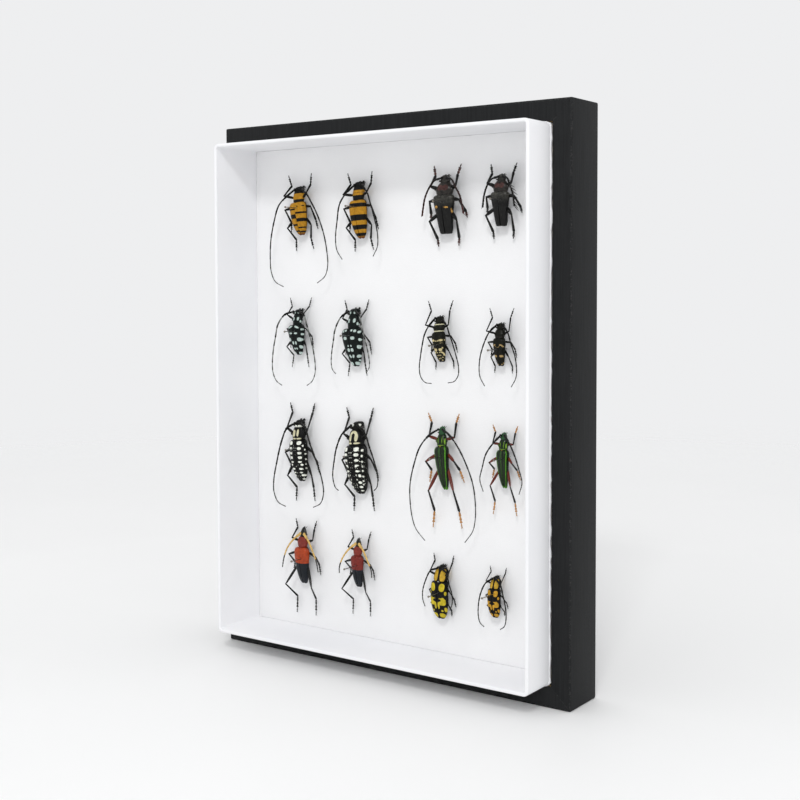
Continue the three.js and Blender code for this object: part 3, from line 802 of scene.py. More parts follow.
# %% Outlines, legs and antennae of the kinds
KINDS = {
    "banded_longhorn": dict(
        length=27.8, width=11.2, domed=0.7, keeled=0.6, thigh=0.65, feeler=(0.5, 0.23), feeler_rise=3.6,
        nod=2.6, splay=1.2,
        wings=((-13.9, 1.2), (-13.2, 2.2), (-11.4, 3.4), (-7.5, 4.7), (-2, 5.45), (2.6, 5.65),
               (4.2, 5.3), (4.9, 4.3)),
        collar=((4.5, 3.3), (5.6, 3.5), (8, 3.85), (10.6, 3.6), (11.7, 3.2)),
        head=((11, 3.0), (12.2, 3.4), (13.4, 3.2), (14.2, 2.3)),
        tubercle=0.4, hips=(7.5, 2.6, -2.5),
        legs=(((8, 9, 3.3), (7, 14.8, -2.7), (8.4, 20.8, -1.9)),
              ((9.5, 1.6, 1), (9, -5.8, -3.6), (9.9, -11, -3.8)),
              ((8.8, -9, 0.7), (5.4, -16, -2.5), (6.4, -22, -3)))),
    "saw_horned_longhorn": dict(
        length=31.5, width=13.6, domed=0.55, keeled=0.5, thigh=0.85, feeler=(0.5, 0.5), feeler_rise=2.3,
        nod=1.8, splay=1.0,
        wings=((-15.7, 3.0), (-15.3, 3.7), (-12, 4.25), (-4, 5.3), (0.6, 6.4), (3, 6.8), (4.4, 6.3),
               (5, 5.0)),
        collar=((4.8, 4.6), (5.6, 4.9), (7.6, 5.5), (9.2, 5.1), (10.9, 3.7), (11.6, 3.0)),
        head=((10.8, 2.8), (12.4, 3.0), (14.4, 2.8), (15.7, 1.9)),
        tubercle=1.2, hips=(8, 2.8, -3.5),
        legs=(((8, 9.7, 1.4), (7, 15.4, -2.2), (8.5, 20.7, -3.2)),
              ((9.2, 2, 0.5), (11, -4.3, -3.5), (11.5, -7.3, -3.8)),
              ((8.5, -8.7, 2), (6.8, -18, -3), (6.4, -21.9, -3)))),
    "blue_spotted_longhorn": dict(
        length=26.5, width=11.2, domed=0.72, keeled=0.6, thigh=0.5, feeler=(0.5, 0.24), feeler_rise=4.2,
        nod=3.0, splay=0.5,
        wings=((-13.2, 1.1), (-12.6, 2.0), (-10.5, 3.1), (-6, 4.45), (0, 5.5), (2.2, 5.6), (3.7, 5.1),
               (4.4, 4.0)),
        collar=((4, 2.8), (5, 2.9), (7, 3.2), (9.2, 3.0), (10.3, 2.8)),
        head=((9.7, 2.8), (11, 3.2), (12.4, 3.0), (13.4, 2.0)),
        tubercle=0.9, hips=(7, 2.2, -2),
        legs=(((5.8, 10.2, 1.5), (6.4, 14.9, -3.8), (7.9, 19.7, -4)),
              ((7, 2.2, 0.5), (8, -2.9, -3.8), (8.5, -8.9, -4)),
              ((7.2, -8.2, 1), (5, -13.4, -2.5), (6.2, -19.9, -2)))),
    "speckled_longhorn": dict(
        length=24.7, width=8.4, domed=0.75, keeled=0.65, thigh=0.5, feeler=(0.46, 0.22), feeler_rise=2.3,
        nod=2.4, splay=0.5,
        wings=((-12.3, 1.3), (-11.7, 1.9), (-9, 2.8), (-5, 3.65), (0, 4.1), (2.2, 4.2), (3.3, 3.8),
               (3.9, 3.0)),
        collar=((3.6, 2.9), (4.5, 3.1), (6, 3.5), (7.8, 3.1), (8.8, 2.7)),
        head=((8.3, 2.5), (9.8, 2.85), (11.4, 2.6), (12.4, 1.7)),
        tubercle=0.7, hips=(6, 1.8, -2),
        legs=(((7.3, 7.7, 2), (5.9, 15.2, -2), (7.8, 20.3, -2.3)),
              ((7.5, 1.4, 0), (7.5, -2.9, -4), (8.4, -7.4, -4)),
              ((5.8, -6.9, 0), (5.6, -12.4, -4), (5.8, -16, -3.5)))),
    "pearl_spotted_longhorn": dict(
        length=35.7, width=12.4, domed=0.72, keeled=0.6, thigh=0.7, feeler=(0.58, 0.26), feeler_rise=3,
        nod=3.2, splay=0.4,
        wings=((-17.8, 1.3), (-17.1, 2.4), (-14.6, 3.8), (-10, 5.0), (-2, 6.0), (4, 6.2), (5.8, 5.6),
               (6.7, 4.4)),
        collar=((6.4, 4.0), (7.4, 4.2), (9.6, 4.5), (12.4, 4.1), (13.8, 3.6)),
        head=((13.1, 3.3), (15, 3.6), (16.8, 3.2), (18, 2.2)),
        tubercle=1.7, hips=(9, 3.6, -3),
        legs=(((7.8, 13.3, 1), (7.5, 22, -4.2), (9.1, 27.3, -4.3)),
              ((10, -0.7, 0.5), (10, -7.7, -4), (10.6, -12.7, -4)),
              ((9, -14.2, 1), (6.3, -21.5, -3.5), (7, -29, -3)))),
    "green_longhorn": dict(
        length=34, width=9, domed=0.72, keeled=0.68, thigh=0.75, feeler=(0.5, 0.22), feeler_rise=2.8,
        nod=2.2, splay=0.9,
        wings=((-17, 0.7), (-16.3, 1.3), (-13, 2.45), (-6, 3.5), (1, 4.2), (4.4, 4.5), (5.9, 4.0),
               (6.7, 3.1)),
        collar=((6.4, 2.7), (7.4, 2.9), (9.6, 3.2), (11.8, 2.6), (12.9, 2.2)),
        head=((12.4, 2.3), (14, 2.2), (16, 1.8), (17.1, 1.2)),
        tubercle=0.8, hips=(10, 3.4, -3.5),
        legs=(((8.1, 11.7, 0), (7.8, 19, -2.6), (9.8, 23.8, -2.5)),
              ((9, -1.2, 2.6), (9, -6.3, -2.5), (11, -12.7, -3)),
              ((7.9, -16.8, 3.4), (7.9, -28.1, -1.2), (9.2, -36.8, -0.8)))),
    "red_shouldered_longhorn": dict(
        length=33, width=10.6, domed=0.62, keeled=0.55, thigh=0.62, feeler=(0.6, 0.3), feeler_rise=2.3,
        nod=2.0, splay=0.6,
        wings=((-16.5, 1.3), (-15.7, 2.3), (-12, 3.5), (-7, 4.3), (0, 5.1), (3, 5.3), (4.4, 4.6),
               (5, 3.4)),
        collar=((4.9, 2.7), (5.8, 3.2), (8, 3.75), (10.2, 3.1), (11, 2.4)),
        head=((10.5, 2.2), (12.2, 2.6), (14.4, 1.9), (16.6, 0.7)),
        tubercle=0.3, hips=(8, 2.6, -3),
        legs=(((7.7, 9.7, 0), (6.2, 15.4, -3.5), (7.7, 20.2, -3.8)),
              ((10.2, -0.1, 0), (9.1, -5.3, -4.2), (10, -10.8, -4.2)),
              ((9.6, -17, 4), (6.9, -25.2, -3.5), (7.1, -34.3, -3)))),
    "yellow_patched_longhorn": dict(
        length=28.8, width=10.4, domed=0.62, keeled=0.62, thigh=0.5, feeler=(0.45, 0.24), feeler_rise=2.3,
        nod=3.8, splay=0.8,
        wings=((-14.4, 1.4), (-13.7, 2.5), (-11.5, 3.8), (-9, 4.6), (-4, 5.35), (4.4, 5.35), (5.7, 4.9),
               (6.3, 4.0)),
        collar=((6, 4.0), (7, 4.4), (9.2, 4.6), (11.6, 4.1), (12.8, 3.3)),
        head=((12, 2.8), (13.2, 2.7), (14, 2.1), (14.6, 1.3)),
        tubercle=0.0, hips=(9, 3.2, -2),
        legs=(((6, 11, 0.5), (5.6, 16.2, -4.2), (6.4, 19.9, -4.2)),
              ((6.6, 1, 0), (7, -4, -3.8), (7.8, -7.5, -4)),
              ((5.6, -6, 0), (5.2, -10, -3.8), (5, -12.8, -4)))),
}
print(len(KINDS), "kinds of beetle")

# %% [markdown]
# Bodies
# A wing case is a quarter of a disc carried along the back: it is high at the seam and thin at its
# side. One is lofted and then mirrored, so a fine seam stays open between the two and each has its
# own rounded tail. The collar, the head and the belly are whole rings. Side bumps are pulled out of
# the collar, and the belly has a waist at each plate.

# %% Model a body of each kind
BODY_LIFT = 5.7
TAIL_DROOP = 1.9
NOD_FROM = 2.0
NOD_POWER = 1.2
SEAM_GAP = 0.04
SQUARE_SHOULDER = 1.06
SQUARE_CORNER = 1.035
SEAM_CREASE = 0.75
CASE_SIDES = 16
BELLY_PLATES = 5
BELLY_WAIST = 0.94
BELLY_SHARE = 0.93
BELLY_RISE = 0.3
BELLY_INSET = 0.6
TUBERCLE_DROP = 0.4
TUBERCLE_POINT = 0.4
SEAM_ANGLE = math.radians(50)


def lift_at(kind, along):
    """How high the middle of the body stands above the foam: the tail droops and the head nods."""
    end = kind["length"] / 2
    if along < NOD_FROM:
        return BODY_LIFT - TAIL_DROOP * (min(along, 0) / end) ** 2
    return BODY_LIFT - kind["nod"] * ((along - NOD_FROM) / (end - NOD_FROM)) ** NOD_POWER


def body_rings(kind, outline):
    """Whole rings through an outline, with the kind's own height above and below the middle."""
    rings = []
    for along, half in outline:
        rise, drop = half * kind["domed"], half * kind["keeled"]
        middle = lift_at(kind, along) + (rise - drop) / 2
        rings.append(((0, along, middle), half, (rise + drop) / 2))
    return rings


def runs_along(edge):
    start, end = ends_of(edge)
    return abs(start.y - end.y) > 0.6 * (start - end).length


def model_wings(kind):
    """One wing case as a lofted quarter disc, with crisp seam and side, then mirrored."""
    rings = []
    for along, half in kind["wings"]:
        rings.append(((0, along, lift_at(kind, along)), half, half * kind["domed"]))
    piece = first_ring("wings", CASE_SIDES, rings[0][0])
    open_edit(piece)
    for across in ((1, 0, 0), (0, 0, 1)):
        bpy.ops.mesh.select_all(action="SELECT")
        bpy.ops.mesh.bisect(plane_co=rings[0][0], plane_no=across, clear_inner=True)
    foot = rings[0][0][2]
    for least, outward in ((0.3, SQUARE_SHOULDER), (0.6, SQUARE_CORNER)):
        pick("VERT", lambda vertex: min(vertex.co.x, vertex.co.z - foot) > least)
        bpy.ops.transform.resize(value=(outward, 1, outward), center_override=rings[0][0])
    bpy.ops.mesh.select_mode(type="FACE")
    bpy.ops.mesh.select_all(action="SELECT")
    extrude_rings(rings)
    bpy.ops.mesh.select_all(action="SELECT")
    bpy.ops.transform.translate(value=(SEAM_GAP, 0, 0))
    pick("EDGE", lambda edge: runs_along(edge) and edge.calc_face_angle(0) > SEAM_ANGLE)
    bpy.ops.transform.edge_crease(value=SEAM_CREASE)
    close_edit()
    rounded_more(piece, 3)
    piece.data.transform(Matrix.Rotation(math.radians(kind["splay"]), 4, "Z"))
    apply_modifier(piece, "MIRROR", use_mirror_merge=False)
    return piece


def model_collar(kind):
    """The plate between head and wing cases, with a bump pulled out of each side."""
    rings = body_rings(kind, kind["collar"])
    piece = loft("collar", 16, rings, 0)
    widest = max(half for along, half in kind["collar"])
    first, last = kind["collar"][1][0], kind["collar"][-2][0]
    halfway, reach = (first + last) / 2, (last - first) / 5
    if kind["tubercle"]:
        for side in (1, -1):
            open_edit(piece)
            bpy.ops.mesh.subdivide(number_cuts=1)
            pick("FACE", lambda face: face.normal.x * side > 0.8
                 and near(face.calc_center_median().y, halfway, reach))
            outward = (side * kind["tubercle"], 0, 0)
            bpy.ops.mesh.extrude_region_move(TRANSFORM_OT_translate={"value": outward})
            centre = (side * (widest + kind["tubercle"]), halfway, BODY_LIFT - TUBERCLE_DROP)
            bpy.ops.transform.resize(value=(1, TUBERCLE_POINT, TUBERCLE_POINT), center_override=centre)
            close_edit()
    rounded_more(piece, 1 if kind["tubercle"] else 2)
    return piece


def model_belly(kind):
    """The underside: a hull below the wing cases with a waist between its plates."""
    tail, neck = kind["wings"][0][0] + BELLY_INSET, kind["collar"][1][0]
    places, halves = zip(*kind["wings"])
    outline = []
    for index in range(2 * BELLY_PLATES + 1):
        along = tail + (neck - tail) * index / (2 * BELLY_PLATES)
        plump = BELLY_SHARE if index % 2 else BELLY_SHARE * BELLY_WAIST
        outline.append((along, plump * float(np.interp(along, places, halves))))
    rings = []
    for along, half in outline:
        drop = half * kind["keeled"]
        middle = lift_at(kind, along) - drop / 2 + BELLY_RISE
        rings.append(((0, along, middle), half, drop / 2 + BELLY_RISE))
    return loft("belly", 12, rings, 1)


BODIES = {}
for name, kind in KINDS.items():
    BODIES[name] = {
        "wings": keep_mesh(model_wings(kind)),
        "collar": keep_mesh(model_collar(kind)),
        "head": keep_mesh(loft("head", 14, body_rings(kind, kind["head"]), 2)),
        "belly": keep_mesh(model_belly(kind)),
    }
    print(name, {part: len(mesh.polygons) for part, mesh in BODIES[name].items()})

# %% [markdown]
# Colours and markings
# The markings are patches of fine coloured hair on a dark shell. A picture could be laid on, but
# patches listed one by one suit the shapes better and stay sharp at any size. Each mark is an oval
# given by its place across and along the body and its two half sizes. Every vertex is told how far
# inside the nearest mark it lies, and the finish turns that into a crisp, slightly uneven edge.

# %% Colours and marks of the kinds
BLACK = shade(14, 14, 13)
COAL = shade(21, 21, 20)
GRAPHITE = shade(40, 40, 39)
ASH = shade(140, 143, 139)
BLUE_BLACK = shade(9, 17, 25)
GREEN_BLACK = shade(13, 20, 19)
OLIVE_BLACK = shade(20, 20, 13)
OCHRE = shade(178, 128, 32)
BURNT = shade(104, 58, 26)
TAN = shade(182, 138, 70)
UMBER = shade(40, 37, 34)
DRIED_RED = shade(56, 22, 19)
ROUGH_GREY = shade(52, 51, 47)
PLUM = shade(66, 42, 39)
MINT = shade(188, 205, 199)
CREAM = shade(238, 240, 229)
STRAW = shade(214, 209, 174)
SAND = shade(206, 191, 142)
BUFF = shade(172, 146, 98)
# OLIVE and LEAF paint the reflection lines on the green wing cases; LEAF also colours their tail tips.
OLIVE = shade(44, 72, 32)
LEAF = shade(74, 138, 22)
LIME = shade(126, 168, 50)
MOSS = shade(5, 21, 4)
FERN = shade(40, 78, 46)
BRONZE = shade(120, 96, 34)
CHESTNUT = shade(102, 42, 32)
HONEY = shade(178, 128, 76)
ORANGE = shade(166, 62, 24)
VERMILION = shade(118, 36, 28)
OXBLOOD = shade(126, 45, 35)
FLAX = shade(216, 178, 102)
LEMON = shade(200, 180, 46)
AMBER = shade(196, 148, 44)
GOLD = shade(196, 158, 52)

BOTH, RIGHT, LEFT = 0, 1, -1
MARK_SQUARENESS = 2.6
BAND_REACH = 12


def bands(places, side=BOTH):
    """Bars across one wing case or both, as place along and half width."""
    return [(side, 0, along, BAND_REACH, half, 0) for along, half in places]


def spots(rows, side=BOTH):
    """Ovals as across, along, half across, half along and, if turned, degrees."""
    return [(side, *(row if len(row) == 5 else (*row, 0))) for row in rows]


BANDS_LEFT = (
    bands(((-1.3, 0.55), (-5.35, 1.0), (-9.7, 0.42), (-12.0, 0.45)), RIGHT)
    + bands(((0.9, 0.5), (-3.2, 1.2), (-8.0, 0.55), (-11.5, 0.45)), LEFT)
    + spots(((1.6, 2.4, 0.7, 0.28), (4.8, 2.5, 0.55, 0.35)), RIGHT)
)
BANDS_RIGHT = bands(((2.35, 1.0), (-3.7, 1.45), (-8.35, 1.1), (-11.9, 0.75)))
SADDLE_SPOTS = (
    spots(((2.4, -1.75, 1.3, 0.45, -8), (5.1, -3.6, 0.3, 1.1)), RIGHT)
    + spots(((-3.5, -1.4, 1.0, 0.7),), LEFT)
)
BLUE_SPOTS_LEFT = spots((
    (2.3, 3.1, 1.5, 0.5, -22), (5.1, 1.7, 0.5, 0.55), (1.85, -0.45, 1.1, 0.5),
    (5.0, -1.1, 0.45, 0.6), (3.5, -4.1, 1.3, 1.1), (0.95, -6.0, 0.6, 0.95), (3.2, -8.4, 0.75, 0.95),
    (0.75, -9.3, 0.6, 0.55), (2.0, -12.1, 1.0, 0.85),
))
BLUE_SPOTS_RIGHT = spots((
    (1.6, 3.4, 0.5, 0.5), (3.2, 3.1, 0.65, 0.6), (4.9, 2.5, 0.45, 0.55), (2.1, -0.1, 1.05, 0.7),
    (4.9, -1.0, 0.4, 0.65), (0.8, -3.5, 0.45, 0.4), (4.2, -4.3, 0.7, 0.85), (0.95, -5.5, 0.75, 0.8),
    (0.8, -8.4, 0.5, 0.8, -25), (3.2, -8.5, 0.85, 0.6, 30), (1.6, -11.8, 1.05, 0.8),
    (3.0, -10.4, 0.3, 0.45),
))
SPECKLES_LEFT = spots((
    (2.4, -0.5, 1.1, 0.55), (0.7, -0.8, 0.6, 0.3), (1.6, -2.2, 1.2, 0.16, 10),
    (1.5, -5.6, 0.95, 0.75), (2.8, -4.6, 0.4, 0.4), (2.2, -7.1, 0.8, 0.4, -20),
    (0.7, -7.1, 0.4, 0.25), (2.7, -8.2, 0.28, 0.6), (0.7, -8.6, 0.7, 0.25), (1.8, -9.7, 0.45, 0.25),
    (0.5, -10.3, 0.35, 0.22), (1.2, -11.2, 0.4, 0.18),
))
SPECKLES_RIGHT = spots((
    (2.3, -0.05, 0.95, 0.35, -12), (3.3, -0.8, 0.5, 0.4), (0.9, -1.1, 0.9, 0.18, 38),
    (2.0, -6.4, 1.1, 0.62), (1.3, -11.2, 0.4, 0.32), (2.3, -10.4, 0.22, 0.42),
))
PEARLS_LEFT = spots((
    (2.9, 4.9, 1.35, 1.05), (3.0, 1.75, 1.2, 0.85), (3.1, -0.9, 1.35, 0.65), (3.1, -3.5, 1.3, 0.75),
    (2.7, -6.1, 1.25, 0.55), (3.6, -7.8, 0.8, 0.6), (2.6, -10.1, 1.25, 0.6),
    (2.2, -12.3, 1.0, 0.42), (3.0, -14.0, 1.05, 0.6), (2.3, -16.3, 0.75, 0.35),
    (5.1, 3.2, 0.3, 0.6), (5.7, 0.9, 0.25, 0.55), (5.7, -1.6, 0.25, 0.5), (5.5, -4.6, 0.25, 0.5),
    (5.2, -7.4, 0.25, 0.5), (4.9, -9.9, 0.25, 0.5), (0.6, 2.4, 0.25, 0.3), (0.5, 0.6, 0.25, 0.35),
    (1.0, -2.0, 0.4, 0.25), (0.4, -5.4, 0.25, 0.25), (1.1, -8.3, 0.3, 0.3), (0.6, -11.2, 0.2, 0.25),
    (0.8, -14.4, 0.2, 0.25),
))
PEARLS_RIGHT = spots((
    (3.15, 4.8, 1.2, 1.0), (3.15, 2.2, 1.2, 0.8), (3.2, -0.5, 1.15, 0.65), (3.1, -2.95, 1.15, 0.5),
    (2.3, -4.5, 0.5, 0.38), (3.0, -5.9, 1.2, 0.5, 8), (1.9, -8.0, 0.38, 0.42),
    (3.5, -8.2, 0.65, 0.75), (1.8, -10.0, 0.38, 0.42), (2.9, -11.6, 0.8, 0.65),
    (2.6, -13.9, 0.75, 0.55), (2.2, -15.9, 0.6, 0.35), (5.45, 4.1, 0.3, 0.6), (5.4, 1.4, 0.3, 0.6),
    (5.3, -1.4, 0.3, 0.55), (5.15, -3.7, 0.28, 0.5), (4.95, -6.0, 0.28, 0.55),
    (4.6, -8.8, 0.28, 0.55), (4.2, -11.0, 0.26, 0.5), (3.8, -12.8, 0.25, 0.4),
    (0.6, 3.3, 0.35, 0.3), (0.5, 0.9, 0.35, 0.22), (0.6, -1.5, 0.3, 0.22), (0.5, -3.9, 0.3, 0.3),
    (0.7, -6.4, 0.25, 0.25), (0.8, -12.0, 0.22, 0.25), (0.6, -14.0, 0.22, 0.25),
))
PATCHES = spots((
    (2.7, 3.4, 1.5, 2.1, -8), (4.6, 0.3, 0.5, 1.0), (3.6, -4.3, 1.2, 1.9), (2.5, -5.1, 1.5, 1.05),
    (0.95, -6.3, 0.6, 1.9), (2.0, -2.3, 0.95, 0.42), (3.4, -2.4, 0.75, 0.6),
    (2.7, -9.2, 0.55, 0.55), (4.3, -8.7, 0.5, 1.3), (2.1, -12.0, 1.5, 1.35),
))
print("marks on one wing case:", len(BLUE_SPOTS_LEFT), len(PEARLS_LEFT), len(PATCHES))

# %% [markdown]
# Where each colour goes
# A look says what colour the shell, collar, head, legs and antennae are, which marks lie on them and
# how strongly small specks of hair are scattered along the wing cases. Beetles of a pair are close
# relations, but no two are marked alike, so most specimens have their own marks or ink.

# %% The looks of the kinds
def look(shell, ink=BLACK, **more):
    """A look with plain black limbs and no marks unless others are given."""
    made = dict(
        shell=shell, ink=ink, wing_marks=(), specks=(), tail=None, stripes=None,
        collar=shell, collar_ink=ink, collar_marks=(), shield=shell,
        head=BLACK, head_ink=ink, head_marks=(),
        legs=(BLACK, BLACK, BLACK), feeler=(BLACK, GRAPHITE), ringed=None, feeler_turn=None,
        gloss=0.35, mark_gloss=0.6, sheen=0.1, coat=0.06,
        pore=2200, pore_depth=0.03, ragged=0.22, mottle=(0.7, 1.2),
    )
    made.update(more)
    return made


def banded(marks, collar_marks):
    return look(
        OCHRE, wing_marks=marks, tail=(-11.9, -13.4, BURNT),
        collar=BLACK, collar_ink=OCHRE, collar_marks=collar_marks, shield=BLACK,
        gloss=0.5, mark_gloss=0.45, ragged=0.5)


def saw_horned(marks, feeler, foot):
    return look(
        BLACK, TAN, wing_marks=marks, tail=(-1.5, 3.0, ROUGH_GREY), collar=UMBER, collar_ink=PLUM,
        collar_marks=spots(((1.6, 8.7, 1.7, 1.5),)), head=ROUGH_GREY,
        legs=(BLACK, BLACK, foot), feeler=(BLACK, feeler),
        gloss=0.3, coat=0.2, pore=1500, pore_depth=0.08, ragged=0.7, mottle=(0.2, 1.9))


def blue_spotted(marks):
    return look(
        GREEN_BLACK, MINT, wing_marks=marks, head=GREEN_BLACK,
        collar_marks=spots(((1.5, 7.8, 0.6, 0.95), (2.9, 6.3, 0.4, 0.7))),
        head_marks=spots(((1.2, 11.4, 0.45, 0.6),)),
        legs=(BLACK, GRAPHITE, GRAPHITE), feeler=(BLACK, BLACK), ringed=ASH, gloss=0.3, mark_gloss=0.75)


def speckled(ink, marks, specks, line, line_marks):
    return look(
        OLIVE_BLACK, ink, wing_marks=marks, specks=specks, collar_ink=line, collar_marks=line_marks,
        head=OLIVE_BLACK, gloss=0.45, mark_gloss=0.8, ragged=0.6)


def pearl_spotted(marks, collar_marks, head_marks):
    return look(
        BLACK, CREAM, wing_marks=marks, specks=((-17, 6, 0.3),),
        collar_ink=STRAW, collar_marks=collar_marks, head_ink=CREAM, head_marks=head_marks,
        legs=(COAL, GRAPHITE, GRAPHITE), feeler=(COAL, GRAPHITE),
        gloss=0.36, mark_gloss=0.75)


def red_shouldered(ink, edge):
    return look(
        BLUE_BLACK, ink, wing_marks=spots(((0, 10 + edge, 14, 10),)),
        collar=OXBLOOD, shield=OXBLOOD, head=COAL,
        legs=(BLACK, BLACK, GRAPHITE), feeler=(FLAX, GRAPHITE), feeler_turn=0.62,
        gloss=0.28, mark_gloss=0.42, coat=0.35)


def yellow_patched(ink, shield):
    return look(
        BLACK, ink, wing_marks=PATCHES, shield=shield,
        collar_ink=GOLD, collar_marks=spots(((2.1, 9.4, 1.5, 3.1),)),
        legs=(COAL, GRAPHITE, GRAPHITE), feeler=(COAL, GRAPHITE), gloss=0.4, mark_gloss=0.6)


LOOKS = {
    "banded_longhorn_left": banded(BANDS_LEFT, bands(((8.3, 1.7),))),
    "banded_longhorn_right": banded(BANDS_RIGHT, bands(((7.9, 0.55), (9.3, 0.6)))),
    "saw_horned_longhorn_left": saw_horned(SADDLE_SPOTS, DRIED_RED, PLUM),
    "saw_horned_longhorn_right": saw_horned((), COAL, GRAPHITE),
    "blue_spotted_longhorn_left": blue_spotted(BLUE_SPOTS_LEFT),
    "blue_spotted_longhorn_right": blue_spotted(BLUE_SPOTS_RIGHT),
    "speckled_longhorn_left": speckled(
        SAND, SPECKLES_LEFT, ((-1.4, 0.2, 0.4), (-11.0, -4.4, 0.33)),
        STRAW, bands(((7.9, 0.24), (4.35, 0.26)))),
    "speckled_longhorn_right": speckled(
        BUFF, SPECKLES_RIGHT, ((-12, -9.6, 0.3),), UMBER, bands(((4.5, 0.35),))),
    "pearl_spotted_longhorn_left": pearl_spotted(
        PEARLS_LEFT, spots(((0.95, 10.6, 0.7, 2.0),), RIGHT) + spots(((-2.0, 10.4, 1.2, 2.0),), LEFT)
        + spots(((1.7, 7.3, 1.5, 0.42),)),
        spots(((1.7, 14.2, 1.6, 0.8),))),
    "pearl_spotted_longhorn_right": pearl_spotted(
        PEARLS_RIGHT, spots(((1.75, 10.4, 0.85, 1.9), (0.9, 12.7, 1.2, 0.65, -32),
                            (2.0, 7.6, 1.5, 0.42))),
        spots(((1.9, 16.2, 0.9, 0.6), (3.1, 14.2, 0.4, 0.8)))),
    "green_longhorn": look(
        MOSS, LIME, collar=shade(8, 34, 6), head=FERN, shield=BRONZE, legs=(CHESTNUT, BLACK, HONEY),
        collar_marks=spots(((1.15, 9.9, 0.16, 1.6), (2.5, 9.2, 0.3, 1.5), (0, 7.25, 2.2, 0.16))),
        # Painted reflections: the olive and leaf-green lines on the dark moss shell stand for light
        # mirrored in the glossy wing cases.
        stripes=((0.0, OLIVE), (0.12, OLIVE), (0.19, MOSS), (0.38, MOSS), (0.43, OLIVE), (0.48, MOSS),
                 (0.67, MOSS), (0.71, LEAF), (0.79, LEAF), (0.85, MOSS), (1.1, MOSS)),
        tail=(-14.8, -16.8, LEAF), gloss=0.22, coat=0.3, pore=2600, pore_depth=0.02),
    "red_shouldered_longhorn_left": red_shouldered(ORANGE, -4.1),
    "red_shouldered_longhorn_right": red_shouldered(VERMILION, -4.3),
    "yellow_patched_longhorn_left": yellow_patched(LEMON, shade(170, 172, 160)),
    "yellow_patched_longhorn_right": yellow_patched(AMBER, BLACK),
}
print(len(LOOKS), "looks")

# %% [markdown]
# The shell finish
# A beetle's shell is smooth and a little glossy, with fine pits; its hair patches are matt. One
# builder makes the finish for every look. It reads four attributes of the mesh: tint, the shell's
# colour, with painted reflections in lengthwise bands on the green kind; ink, the colour of the
# nearest mark; mark, how far inside a mark a point lies, in millimetres; and speck, how thickly
# small specks lie there.

# %% Finish of a shell, and of an eye
MARK_EDGE = 0.05
RAGGED_SCALE = 2400
SPECK_SCALE = 1500
UNEVEN_SCALE = 700
COAT_ROUGHNESS = 0.12
EYE_FACETS = 9000
EYE_TONES = shade(14, 12, 12), shade(52, 44, 40)
EYE_DEPTH = 0.01 * MM


def attribute(tree, name, output="Fac"):
    return add_node(tree, "ShaderNodeAttribute", attribute_name=name).outputs[output]


def shell_finish(name, made):
    finish, tree, shader = new_finish(name)
    place = object_place(tree)
    around_zero = math_of(tree, "SUBTRACT", noise(tree, place, RAGGED_SCALE), 0.5)
    ragged = math_of(tree, "MULTIPLY", around_zero, made["ragged"])
    inside = ramp(tree, math_of(tree, "ADD", attribute(tree, "mark"), ragged), -MARK_EDGE, MARK_EDGE)
    scatter = math_of(tree, "ADD", noise(tree, place, SPECK_SCALE, 1.0), attribute(tree, "speck"))
    speckled = ramp(tree, scatter, 1.0, 1.05)
    marked = math_of(tree, "MAXIMUM", inside, speckled)
    uneven = ramp(tree, noise(tree, place, UNEVEN_SCALE), 0.25, 0.75, *made["mottle"])
    colour = blend(tree, marked, attribute(tree, "tint", "Color"), attribute(tree, "ink", "Color"))
    varied = add_node(tree, "ShaderNodeVectorMath", operation="SCALE")
    join(tree, colour, varied.inputs[0])
    join(tree, uneven, varied.inputs["Scale"])
    join(tree, varied.outputs["Vector"], shader.inputs["Base Color"])
    join(tree, ramp(tree, marked, 0, 1, made["gloss"], made["mark_gloss"]), shader.inputs["Roughness"])
    shader.inputs["Specular IOR Level"].default_value = made["sheen"]
    shader.inputs["Coat Weight"].default_value = made["coat"]
    shader.inputs["Coat Roughness"].default_value = COAT_ROUGHNESS
    pits = add_node(tree, "ShaderNodeTexVoronoi", {"Scale": made["pore"]})
    join(tree, place, pits.inputs["Vector"])
    add_bump(tree, shader, ramp(tree, pits.outputs["Distance"], 0.0, 0.5), made["pore_depth"] * MM)
    return finish


def eye_finish():
    finish, tree, shader = new_finish("beetle_eye", roughness=0.15)
    facets = add_node(tree, "ShaderNodeTexVoronoi", {"Scale": EYE_FACETS})
    join(tree, object_place(tree), facets.inputs["Vector"])
    distance = facets.outputs["Distance"]
    join(tree, blend(tree, distance, *EYE_TONES), shader.inputs["Base Color"])
    add_bump(tree, shader, distance, EYE_DEPTH)
    return finish


beetle_eye = eye_finish()
FINISHES = {name: shell_finish(f"{name}_shell", made) for name, made in LOOKS.items()}
print(len(FINISHES), "shell finishes")

# %% [markdown]
# Painting a part
# A part is painted before it is put in place, while its own millimetres still tell where each mark
# belongs. The distance into an oval is found from how far its squared-off radius falls short of
# one, so it is right near the edge, where the finish needs it.

# %% Helpers that paint a part
def set_values(mesh, name, values):
    """Writes one number, or one colour, for each vertex."""
    values = np.asarray(values, dtype=np.float32)
    if values.ndim == 2:
        layer = mesh.attributes.new(name, "FLOAT_COLOR", "POINT")
        values = np.column_stack([values, np.ones(len(values), dtype=np.float32)])
        layer.data.foreach_set("color", values.ravel())
    else:
        layer = mesh.attributes.new(name, "FLOAT", "POINT")
        layer.data.foreach_set("value", values)


def points_of(mesh):
    flat = np.empty(3 * len(mesh.vertices), dtype=np.float32)
    mesh.vertices.foreach_get("co", flat)
    return flat.reshape(-1, 3)


